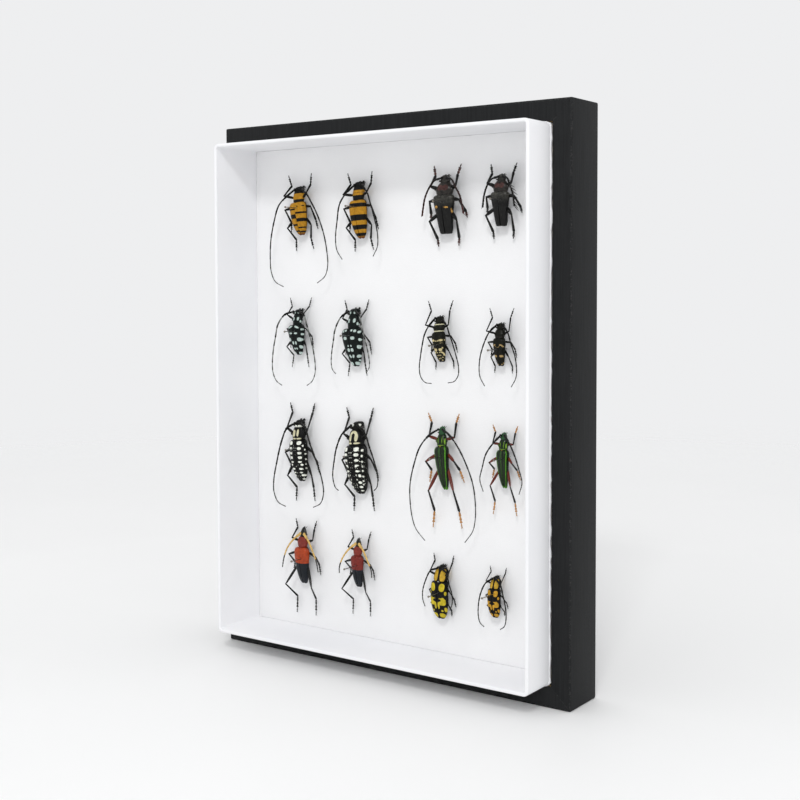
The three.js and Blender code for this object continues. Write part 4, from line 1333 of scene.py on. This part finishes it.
def depth_in_marks(points, marks):
    """How many millimetres inside the nearest mark each point lies; below zero outside all."""
    deepest = np.full(len(points), -1.0)
    for side, across, along, half_across, half_along, turn in marks:
        x = np.abs(points[:, 0]) if side == BOTH else points[:, 0]
        cos, sin = math.cos(math.radians(turn)), math.sin(math.radians(turn))
        dx, dy = x - across, points[:, 1] - along
        u = np.abs(dx * cos + dy * sin) / half_across
        v = np.abs(dy * cos - dx * sin) / half_along
        radius = (u ** MARK_SQUARENESS + v ** MARK_SQUARENESS) ** (1 / MARK_SQUARENESS)
        depth = (1 - radius) * min(half_across, half_along)
        if side != BOTH:
            depth = np.where(points[:, 0] * side > 0, depth, -1)
        deepest = np.maximum(deepest, depth)
    return deepest


def paint(mesh, tint, ink=BLACK, depth=None, speck=None):
    """Writes the four attributes that a shell finish reads."""
    count = len(mesh.vertices)
    tint = np.asarray(tint)
    set_values(mesh, "tint", tint if tint.ndim == 2 else np.tile(tint, (count, 1)))
    set_values(mesh, "ink", np.tile(ink, (count, 1)))
    set_values(mesh, "mark", np.full(count, -1.0) if depth is None else depth)
    set_values(mesh, "speck", np.zeros(count) if speck is None else speck)


def wing_tint(kind, made, points):
    """The wing cases' colour: plain, banded along the body with painted reflections, or burnt at the
    tail.
    """
    tint = np.tile(made["shell"], (len(points), 1))
    # Painted reflections: bands of colour set by the share of the half width, as light mirrored along a
    # glossy shell.
    if made["stripes"]:
        places, halves = zip(*kind["wings"])
        share = np.abs(points[:, 0]) / np.interp(points[:, 1], places, halves)
        steps, colours = zip(*made["stripes"])
        tint = np.column_stack([np.interp(share, steps, channel) for channel in zip(*colours)])
    if made["tail"]:
        start, end, colour = made["tail"]
        fade = np.clip((points[:, 1] - start) / (end - start), 0, 1)[:, None]
        tint = tint * (1 - fade) + np.asarray(colour) * fade
    return tint


def paint_wings(mesh, kind, made):
    points = points_of(mesh)
    speck = np.zeros(len(points))
    for start, end, amount in made["specks"]:
        speck = np.where((points[:, 1] > start) & (points[:, 1] < end), amount, speck)
    depth = depth_in_marks(points, made["wing_marks"])
    paint(mesh, wing_tint(kind, made, points), made["ink"], depth, speck)


print("painting helpers are ready")

# %% [markdown]
# The sixteen specimens
# Each specimen has its place on the foam, its lean, its own size and its own antennae, which are the
# most personal thing about it. An antenna is a smooth curve through a few points, cut into eleven
# joints: a thick first one, a tiny second one and long ones after that.

# %% Places, sizes and antennae of the specimens
SPECIMENS = {
    "banded_longhorn_left": dict(
        at=(-63.7, 255.3), lean=4.8, length=27.8, width=11.2, legs=1,
        feelers=((2, 12.6), (8, 8.5), (11.7, 4.5), (16, -4), (19.6, -15), (21, -25), (21, -33),
                 (18.5, -39), (12.5, -42.5))),
    "banded_longhorn_right": dict(
        at=(-20.8, 254.3), lean=3.8, length=31.5, width=11.2, legs=1,
        feelers=((2, 14.2), (7.5, 9.5), (10.5, 4), (12.6, -4), (14.5, -14), (14.1, -21), (10.7, -26.5))),
    "saw_horned_longhorn_left": dict(
        at=(36.1, 255.6), lean=1.5, length=31.5, width=13.6, legs=1, teeth=(1.4, 0.8),
        feelers=((1.6, 14), (5.5, 12.7), (8, 9.2), (11, 3.7), (12.4, -2.3), (13, -5.6))),
    "saw_horned_longhorn_right": dict(
        at=(70.4, 256.6), lean=0, length=27, width=11.4, legs=0.9, teeth=(3.8, 1.0),
        feelers=((1.4, 12), (4.6, 10.9), (6.4, 8), (8.4, 3), (9.4, -3.6))),
    "blue_spotted_longhorn_left": dict(
        at=(-65.7, 185.6), lean=2.2, length=26.5, width=11.2, legs=1,
        feelers=((2, 12), (7, 10.4), (10.6, 5), (12.8, -2), (14.9, -10), (16, -18), (15.6, -23.5),
                 (13.2, -28), (9.3, -30.4))),
    "blue_spotted_longhorn_right": dict(
        at=(-24.9, 183.5), lean=3.6, length=32.5, width=13.6, legs=1.06,
        feelers=((2.4, 14.8), (6.6, 11.6), (9.4, 5), (11, -1), (12.7, -8), (13.4, -13.7), (12.8, -17.2),
                 (10.6, -19.7))),
    "speckled_longhorn_left": dict(
        at=(32.6, 184.1), lean=4.3, length=24.7, width=8.2, legs=1,
        feelers=((1.7, 11.4), (6, 6.8), (7.9, 2.7), (9.3, -1.3), (11.2, -8.3), (12.5, -15),
                 (11.9, -19.6), (9.3, -22.6), (5.2, -23.3))),
    "speckled_longhorn_right": dict(
        at=(69.9, 182.2), lean=0.8, length=22.4, width=7.2, legs=0.92,
        feelers=((1.5, 10.3), (5.4, 6.6), (8, 0.8), (10.4, -6), (11.2, -13), (10.6, -17), (7.9, -21.5))),
    "pearl_spotted_longhorn_left": dict(
        at=(-64.7, 116.9), lean=4.2, length=35.7, width=12.4, legs=1,
        feelers=((2, 16), (7, 13.3), (10.4, 5.8), (15.5, -7.7), (18, -16), (18.6, -23.5), (16, -29.5),
                 (10.3, -32.1))),
    "pearl_spotted_longhorn_right": dict(
        at=(-22.8, 115.9), lean=5.2, length=40.7, width=13.8, legs=1.02, plump=1.3,
        feelers=((2.4, 18.4), (8, 14), (11.6, 6.4), (14, -1), (15.8, -9), (15.4, -13.6), (14.4, -16.2),
                 (12.4, -17.7))),
    "green_longhorn_left": dict(
        at=(34.4, 120.3), lean=4.3, length=34, width=9, legs=1,
        feelers=((1.4, 15.6), (5.8, 13.2), (11.8, 7), (16.6, -2.6), (20, -13), (20.8, -22), (20.2, -31),
                 (18.2, -37.6), (12.7, -44))),
    "green_longhorn_right": dict(
        at=(72, 122.1), lean=1.4, length=29, width=7.7, legs=0.76,
        feelers=((1.2, 13.2), (5, 9), (8.6, 3.4), (11, -3.8), (12.6, -10), (10.7, -16.3))),
    "red_shouldered_longhorn_left": dict(
        at=(-62.7, 56), lean=0.6, length=33, width=10.6, legs=1,
        feelers=((1.5, 12.6), (5.5, 9.2), (9.4, 4), (12.2, -2.3), (13.4, -7.8))),
    "red_shouldered_longhorn_right": dict(
        at=(-22.6, 56.8), lean=0.8, length=27.8, width=8.7, legs=0.87,
        feelers=((1.3, 10.6), (4.8, 7.8), (8.4, 3), (11.2, -3), (11.4, -6.6))),
    "yellow_patched_longhorn_left": dict(
        at=(32.6, 47.7), lean=0.6, length=28.8, width=10.4, legs=1,
        feelers=((1.6, 13), (5, 11.6), (7.6, 6), (9.4, 0.4), (9.4, -4.4), (8, -8))),
    "yellow_patched_longhorn_right": dict(
        at=(66.7, 49.9), lean=0.5, length=21.7, width=7.3, legs=0.77, plump=1.2,
        feelers=((1.2, 9.8), (4.6, 7.2), (6.8, 2), (8.2, -4), (8.4, -10), (7.4, -13.6), (4.9, -15.6))),
}
print(len(SPECIMENS), "specimens")

# %% [markdown]
# Putting a beetle together
# A specimen is a body and about a hundred joints. Each joint is a copy of its unit, painted, stretched
# between two points and collected, and at the end the copies are joined into one mesh, as the dried
# animal is one piece. The whole is then turned upright onto the foam and shrunk to metres.

# %% Helpers that collect the copies of one specimen
def add_copy(parts, mesh, matrix):
    """Copies a mesh, moves it by a matrix and adds it to the parts of a specimen."""
    made = mesh.copy()
    made.transform(matrix)
    if matrix.determinant() < 0:
        made.flip_normals()
    parts.append(made)
    return made


def between(start, end, radius, flat=1.0):
    """The matrix that lays a unit joint from start to end."""
    way = end - start
    turn = way.to_track_quat("Y", "Z").to_matrix().to_4x4()
    return Matrix.Translation(start) @ turn @ Matrix.Diagonal((radius, way.length, radius * flat, 1))


def painted_joint(unit, root, tip=None):
    """A copy of a unit joint whose colour runs from root to tip along its own length."""
    mesh = UNITS[unit].copy()
    along = np.clip(points_of(mesh)[:, 1], 0, 1)[:, None]
    along = along * along * (3 - 2 * along)
    paint(mesh, np.asarray(root) * (1 - along) + np.asarray(root if tip is None else tip) * along)
    return mesh


def add_joint(parts, unit, matrix, root, tip=None):
    """Adds a straight joint, laid in place by a matrix."""
    mesh = painted_joint(unit, root, tip)
    add_copy(parts, mesh, matrix)
    bpy.data.meshes.remove(mesh)


def add_ball(parts, place, radius, colour):
    """Adds a round joint, such as a hip or a knee."""
    add_joint(parts, "ball", Matrix.Translation(place) @ Matrix.Scale(radius, 4), colour)


print("assembly helpers are ready")

# %% [markdown]
# Legs
# A leg goes from the hip to the knee as a club-shaped thigh, on to the ankle as a shin with two
# small spurs, and ends in three flat pads, a slender last joint and a pair of claws. The forelegs
# of the set specimens stand straighter than the bodies lean, so they are turned back a little.

# %% Legs of a specimen
HIP_SHARE = 0.22
HIP_DROP = 1.4
LEAST_LIFT = 0.9
FORELEG_UPRIGHT = 0.6
FOOT_STEPS = (0.0, 0.32, 0.55, 0.72, 0.95)
FOOT_WIDTHS = (0.8, 0.85, 0.95)
THIGH_THICK, SHIN_THICK, PAD_THICK, CLAW_JOINT_THICK, CLAW_THICK = 1.4, 1.05, 1.4, 0.7, 0.36
HIP_BALL, KNEE_BALL, ANKLE_BALL = 1.3, 0.72, 0.78
PAD_FLATNESS = 0.6
SPUR_LENGTH, SPUR_THICK = 0.18, 0.2
CLAW_LENGTH, CLAW_DIP = 0.13, Vector((0, 0, 0.15))
CLAW_SPREAD = math.radians(28)


def leg_points(kind, specimen, pair, side):
    """Hip, knee, ankle and toe of one leg."""
    turn_back = -FORELEG_UPRIGHT * math.radians(specimen["lean"]) if pair == 0 else 0
    turn = Matrix.Rotation(turn_back, 3, "Z")
    stretch = specimen["length"] / kind["length"]
    hip_across = side * HIP_SHARE * specimen["width"]
    points = [Vector((hip_across, kind["hips"][pair] * stretch, BODY_LIFT - HIP_DROP))]
    for across, along, up in kind["legs"][pair]:
        point = turn @ Vector((side * across, along, 0)) * specimen["legs"]
        point.z = max(BODY_LIFT + up, LEAST_LIFT)
        points.append(point)
    return points


def add_leg(parts, kind, specimen, made, pair, side):
    hip, knee, ankle, toe = leg_points(kind, specimen, pair, side)
    thick = kind["thigh"] * specimen["legs"]
    thigh_colour, shin_colour, foot_colour = made["legs"]
    add_ball(parts, hip, HIP_BALL * thick, BLACK)
    add_ball(parts, knee, KNEE_BALL * thick, shin_colour)
    add_ball(parts, ankle, ANKLE_BALL * thick, shin_colour)
    add_joint(parts, "thigh", between(hip, knee, THIGH_THICK * thick), thigh_colour)
    add_joint(parts, "shin", between(knee, ankle, SHIN_THICK * thick), shin_colour)
    foot = toe - ankle
    for spur_side in (1, -1):
        lean = Matrix.Rotation(spur_side * CLAW_SPREAD, 3, "Z")
        spur = between(ankle, ankle + lean @ foot * SPUR_LENGTH, SPUR_THICK * thick)
        add_joint(parts, "hook", spur, shin_colour)
    for step, width in enumerate(FOOT_WIDTHS):
        start, end = ankle + foot * FOOT_STEPS[step], ankle + foot * FOOT_STEPS[step + 1]
        add_joint(parts, "pad", between(start, end, width * thick * PAD_THICK, PAD_FLATNESS), foot_colour)
    start, end = ankle + foot * FOOT_STEPS[3], ankle + foot * FOOT_STEPS[4]
    add_joint(parts, "claw_joint", between(start, end, CLAW_JOINT_THICK * thick), foot_colour)
    for claw_side in (1, -1):
        lean = Matrix.Rotation(claw_side * CLAW_SPREAD, 3, "Z")
        claw = between(end, end + lean @ foot * CLAW_LENGTH - CLAW_DIP, CLAW_THICK * thick)
        add_joint(parts, "hook", claw @ Matrix.Diagonal((claw_side, 1, 1, 1)), foot_colour)


# %% [markdown]
# Antennae
# The curve through the antenna's points is a centripetal Catmull-Rom curve, which neither loops nor
# overshoots. It is walked in small steps, so that each of the eleven joints can be given its real
# share of the length and be bent along it. Saw-horned beetles have a tooth at the end of each
# joint, and the blue-spotted ones have joints that are pale at the foot and dark at the end.

# %% Antennae of a specimen
JOINT_SHARES = (0.12, 0.03, 0.14, 0.11, 0.10, 0.10, 0.09, 0.085, 0.08, 0.075, 0.07)
CURVE_STEPS = 40
FIRST_JOINT_THICK = 1.6
JOINT_THICK = 1.3
TOOTH_TURN = math.radians(38)
TOOTH_THICK = 0.4
TOOTH_BACK = 0.4
SOCKET_BALL = 1.5
BEND_STEP = 0.3


def smooth_course(points):
    """Points close together along a centripetal Catmull-Rom curve."""
    ends = [2 * points[0] - points[1], *points, 2 * points[-1] - points[-2]]
    course = [points[0]]
    for a, b, c, d in zip(ends, ends[1:], ends[2:], ends[3:]):
        times = [0.0]
        for start, end in ((a, b), (b, c), (c, d)):
            times.append(times[-1] + math.sqrt((end - start).length))
        for step in range(1, CURVE_STEPS + 1):
            now = times[1] + (times[2] - times[1]) * step / CURVE_STEPS
            level = [a, b, c, d]
            for order in (1, 2, 3):
                level = neville_step(level, times, now, order)
            course.append(level[0])
    return course


def neville_step(level, times, now, order):
    """One row of the pyramid that blends four points into one on the curve."""
    blended = []
    for index in range(len(level) - 1):
        if order == 1:
            low, high = times[index], times[index + 1]
        elif order == 2:
            low, high = times[index], times[index + 2]
        else:
            low, high = times[1], times[2]
        share = (now - low) / (high - low)
        blended.append(level[index] * (1 - share) + level[index + 1] * share)
    return blended


def lengths_along(course):
    """The length of the course up to each of its points."""
    steps = np.linalg.norm(np.diff(course, axis=0), axis=1)
    return np.concatenate([[0.0], np.cumsum(steps)])


def places_on(course, lengths, goals):
    """The places on the course at given lengths."""
    return np.column_stack([np.interp(goals, lengths, course[:, axis]) for axis in range(3)])


def add_bent_joint(parts, course, lengths, span, thick, colours):
    """Adds a joint of an antenna that follows its course from one length to another."""
    mesh = painted_joint("feeler_joint", *colours)
    points = points_of(mesh)
    goals = span[0] + (span[1] - span[0]) * points[:, 1]
    way = places_on(course, lengths, goals + BEND_STEP) - places_on(course, lengths, goals - BEND_STEP)
    way /= np.linalg.norm(way, axis=1)[:, None]
    across = np.cross(way, (0, 0, 1))
    across /= np.linalg.norm(across, axis=1)[:, None]
    up = np.cross(across, way)
    placed = places_on(course, lengths, goals) + thick * (across * points[:, :1] + up * points[:, 2:])
    mesh.vertices.foreach_set("co", placed.astype(np.float32).ravel())
    parts.append(mesh)


def add_antenna(parts, kind, specimen, made, side):
    points = []
    for index, (across, along) in enumerate(specimen["feelers"]):
        rise = min(index / 2, 1) * kind["feeler_rise"]
        points.append(Vector((side * across, along, BODY_LIFT + rise)))
    course = np.array(smooth_course(points))
    lengths = lengths_along(course)
    ends = np.cumsum((0.0,) + JOINT_SHARES) * lengths[-1]
    add_ball(parts, points[0], SOCKET_BALL * kind["feeler"][0], made["feeler"][0])
    for index, span in enumerate(zip(ends, ends[1:])):
        share = index / (len(JOINT_SHARES) - 1)
        thick = kind["feeler"][0] * (1 - share) + kind["feeler"][1] * share
        thick *= FIRST_JOINT_THICK if index == 0 else JOINT_THICK
        colours = feeler_colours(made, index, share)
        add_bent_joint(parts, course, lengths, span, thick, colours)
        if specimen.get("teeth") and index > 1:
            start, end = [Vector(place) for place in places_on(course, lengths, np.array(span))]
            way = (end - start).normalized()
            tooth = Matrix.Rotation(side * TOOTH_TURN, 3, "Z") @ way * specimen["teeth"][side < 0]
            hook = between(end - way * TOOTH_BACK, end + tooth, TOOTH_THICK * thick)
            add_joint(parts, "hook", hook, colours[1])


def feeler_colours(made, index, share):
    """The colours at the foot and the end of one joint of an antenna."""
    first, last = np.asarray(made["feeler"][0]), np.asarray(made["feeler"][1])
    if made["feeler_turn"] is not None:
        colour = first if share < made["feeler_turn"] else last
        return colour, colour
    colour = first * (1 - share) + last * share
    if made["ringed"] and index > 1:
        return np.asarray(made["ringed"]), colour
    return colour, colour


# %% [markdown]
# Head parts, and the whole specimen
# The head carries two bean-shaped eyes, a pair of hooked jaws and short feelers by the mouth. With
# these, the body, six legs and two antennae the beetle is complete. Joining meshes keeps each
# part's paint, and one matrix stands the finished animal on the foam.

# %% Build the sixteen beetles
FOAM_FRONT = foam_low.y
EYE_SHARE = (0.34, 0.26, 0.42)
EYE_OUT, EYE_AHEAD, EYE_UP = 0.82, 0.1, 0.22
JAW_THICK = 0.34
PALP_THICK = 0.2
SHIELD_SIZE = (0.7, 1.1, 0.35, 1)
SHIELD_BACK, SHIELD_SUNK = 0.5, 0.35


def body_stretch(kind, specimen):
    """Stretches a kind's body to a specimen's own width and length about the body's middle height."""
    wide, long = specimen["width"] / kind["width"], specimen["length"] / kind["length"]
    lift = Matrix.Translation((0, 0, BODY_LIFT))
    return lift @ Matrix.Diagonal((wide, long, wide * specimen.get("plump", 1), 1)) @ lift.inverted()


def add_body(parts, name, kind, made, stretch):
    shapes = BODIES[name]
    wings = shapes["wings"].copy()
    paint_wings(wings, kind, made)
    meshes = [wings]
    for part in ("collar", "head"):
        mesh = shapes[part].copy()
        depth = depth_in_marks(points_of(mesh), made[f"{part}_marks"])
        paint(mesh, made[part], made[f"{part}_ink"], depth)
        meshes.append(mesh)
    belly = shapes["belly"].copy()
    paint(belly, BLACK)
    for mesh in (*meshes, belly):
        add_copy(parts, mesh, stretch)
        bpy.data.meshes.remove(mesh)
    neck = kind["collar"][0][0]
    top = lift_at(kind, neck) + kind["wings"][-1][1] * kind["domed"]
    plate = Matrix.Translation((0, neck - SHIELD_BACK, top - SHIELD_SUNK)) @ Matrix.Diagonal(SHIELD_SIZE)
    add_joint(parts, "shield", stretch @ plate, made["shield"])


def add_face(parts, kind, made, stretch):
    """Jaws and mouth feelers; the eyes are kept apart because their finish differs."""
    front, half = kind["head"][-1]
    low = lift_at(kind, front) - 0.3 * half
    for side in (1, -1):
        root = Vector((side * 0.5 * half, front - 0.4, low - 0.3 * half))
        jaw_tip = root + Vector((-side * 0.1, 0.3 * half + 0.2, -0.45 * half))
        jaw = between(root, jaw_tip, JAW_THICK * half) @ Matrix.Diagonal((side, 1, 1, 1))
        add_joint(parts, "hook", stretch @ jaw, made["head"])
        palp = root + Vector((side * 0.2, -0.5, -0.3 * half))
        bend = palp + Vector((side * 0.35, 0.35, -0.5))
        palp_tip = bend + Vector((-side * 0.1, 0.45, -0.4))
        for start, end in ((palp, bend), (bend, palp_tip)):
            add_joint(parts, "feeler_joint", stretch @ between(start, end, PALP_THICK), made["head"])


def add_eyes(parts, kind, stretch):
    brow, half = kind["head"][1]
    for side in (1, -1):
        height = lift_at(kind, brow) + EYE_UP * half
        place = Matrix.Translation((side * EYE_OUT * half, brow + EYE_AHEAD, height))
        wide, long, tall = (share * half for share in EYE_SHARE)
        size = Matrix.Diagonal((wide * side, long, tall, 1))
        mesh = UNITS["eye"].copy()
        paint(mesh, BLACK)
        add_copy(parts, mesh, stretch @ place @ size)
        bpy.data.meshes.remove(mesh)


def join_parts(name, groups):
    """Makes one object of groups of meshes, each group with its own finish."""
    start_clean()
    made = []
    for meshes, finish in groups:
        for mesh in meshes:
            mesh.materials.clear()
            mesh.materials.append(finish)
            piece = bpy.data.objects.new(name, mesh)
            bpy.context.collection.objects.link(piece)
            piece.select_set(True)
            made.append(piece)
    bpy.context.view_layer.objects.active = made[0]
    bpy.ops.object.join()
    whole = bpy.context.object
    whole.name = name
    whole.data.name = name
    return whole


def build_specimen(node, specimen):
    name = node.rsplit("_", 1)[0]
    kind = KINDS[name]
    look_name = node if node in LOOKS else name
    made = LOOKS[look_name]
    stretch = body_stretch(kind, specimen)
    parts, eyes = [], []
    add_body(parts, name, kind, made, stretch)
    add_face(parts, kind, made, stretch)
    add_eyes(eyes, kind, stretch)
    for side in (1, -1):
        add_antenna(parts, kind, specimen, made, side)
        for pair in range(3):
            add_leg(parts, kind, specimen, made, pair, side)
    whole = join_parts(f"{node}_specimen", ((parts, FINISHES[look_name]), (eyes, beetle_eye)))
    across, height = specimen["at"]
    place = Matrix.Translation((across * MM, FOAM_FRONT, height * MM))
    stand = Matrix.Rotation(QUARTER_TURN, 4, "X")
    turn = Matrix.Rotation(math.radians(specimen["lean"]), 4, "Z")
    whole.data.transform(place @ stand @ turn @ Matrix.Scale(MM, 4))
    bpy.ops.object.shade_smooth()
    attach(whole, "root")
    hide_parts(node)
    return whole


for node, specimen in SPECIMENS.items():
    whole = build_specimen(node, specimen)
    print(whole.name, len(whole.data.polygons), "faces")

# %% [markdown]
# The pins
# Each beetle is held by one insect pin: a thin steel wire with a small round head and a long point.
# A pin is a loft like the joints. It is modelled once, its point at zero, and each copy is made as
# long as its own solid in the frame by moving its head end.

# %% Model the pins
PIN_RADIUS = 0.23
PIN_POINT = 2.0
PIN_HEAD = ((0.0, 0.23), (0.12, 0.42), (0.4, 0.58), (0.75, 0.58), (1.02, 0.4), (1.12, 0.12))
PIN_SHAFT = 20.0
HEAD_LENGTH = PIN_HEAD[-1][0]
PIN_SLACK = 0.01
STEEL_TONES = shade(150, 152, 152), shade(196, 198, 198)
TARNISH_TONES = shade(98, 92, 82), shade(156, 150, 138)


def pin_steel_finish():
    finish, tree, shader = new_finish("pin_steel", roughness=0.32)
    drawn = noise(tree, object_place(tree, (8, 1, 8)), 900)
    join(tree, blend(tree, drawn, *STEEL_TONES), shader.inputs["Base Color"])
    shader.inputs["Metallic"].default_value = 1.0
    return finish


def pin_head_finish():
    finish, tree, shader = new_finish("pin_head", roughness=0.35)
    tarnish = noise(tree, object_place(tree), 1800)
    join(tree, blend(tree, tarnish, *TARNISH_TONES), shader.inputs["Base Color"])
    shader.inputs["Metallic"].default_value = 0.6
    return finish


def model_pin():
    profile = [(0, 0.03), (PIN_POINT, PIN_RADIUS), (PIN_SHAFT / 2, PIN_RADIUS)]
    profile += [(PIN_SHAFT + step, radius) for step, radius in PIN_HEAD]
    return loft("pin", 12, straight_rings(profile), 0)


def place_pin(node):
    """A copy of the pin, as long as its own solid, with its point in the foam."""
    low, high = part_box(node)
    longer = (high.y - low.y) / MM - HEAD_LENGTH - PIN_SHAFT
    mesh = pin_mesh.copy()
    points = points_of(mesh)
    points[points[:, 1] > PIN_SHAFT - PIN_SLACK, 1] += longer
    mesh.vertices.foreach_set("co", points.ravel())
    mesh.materials.append(pin_steel)
    mesh.materials.append(pin_head)
    for face in mesh.polygons:
        face.material_index = int(face.center.y > PIN_SHAFT + longer + 2 * PIN_SLACK)
    middle = (low + high) / 2
    place = Matrix.Translation((middle.x, high.y, middle.z))
    mesh.transform(place @ Matrix.Rotation(math.pi, 4, "Z") @ Matrix.Scale(MM, 4))
    pin = bpy.data.objects.new(f"{node}_wire", mesh)
    bpy.context.collection.objects.link(pin)
    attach(pin, "root")
    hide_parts(node)


pin_steel = pin_steel_finish()
pin_head = pin_head_finish()
pin_mesh = keep_mesh(model_pin())
for node in SPECIMENS:
    place_pin(f"{node}_pin")
print(len(SPECIMENS), "pins")
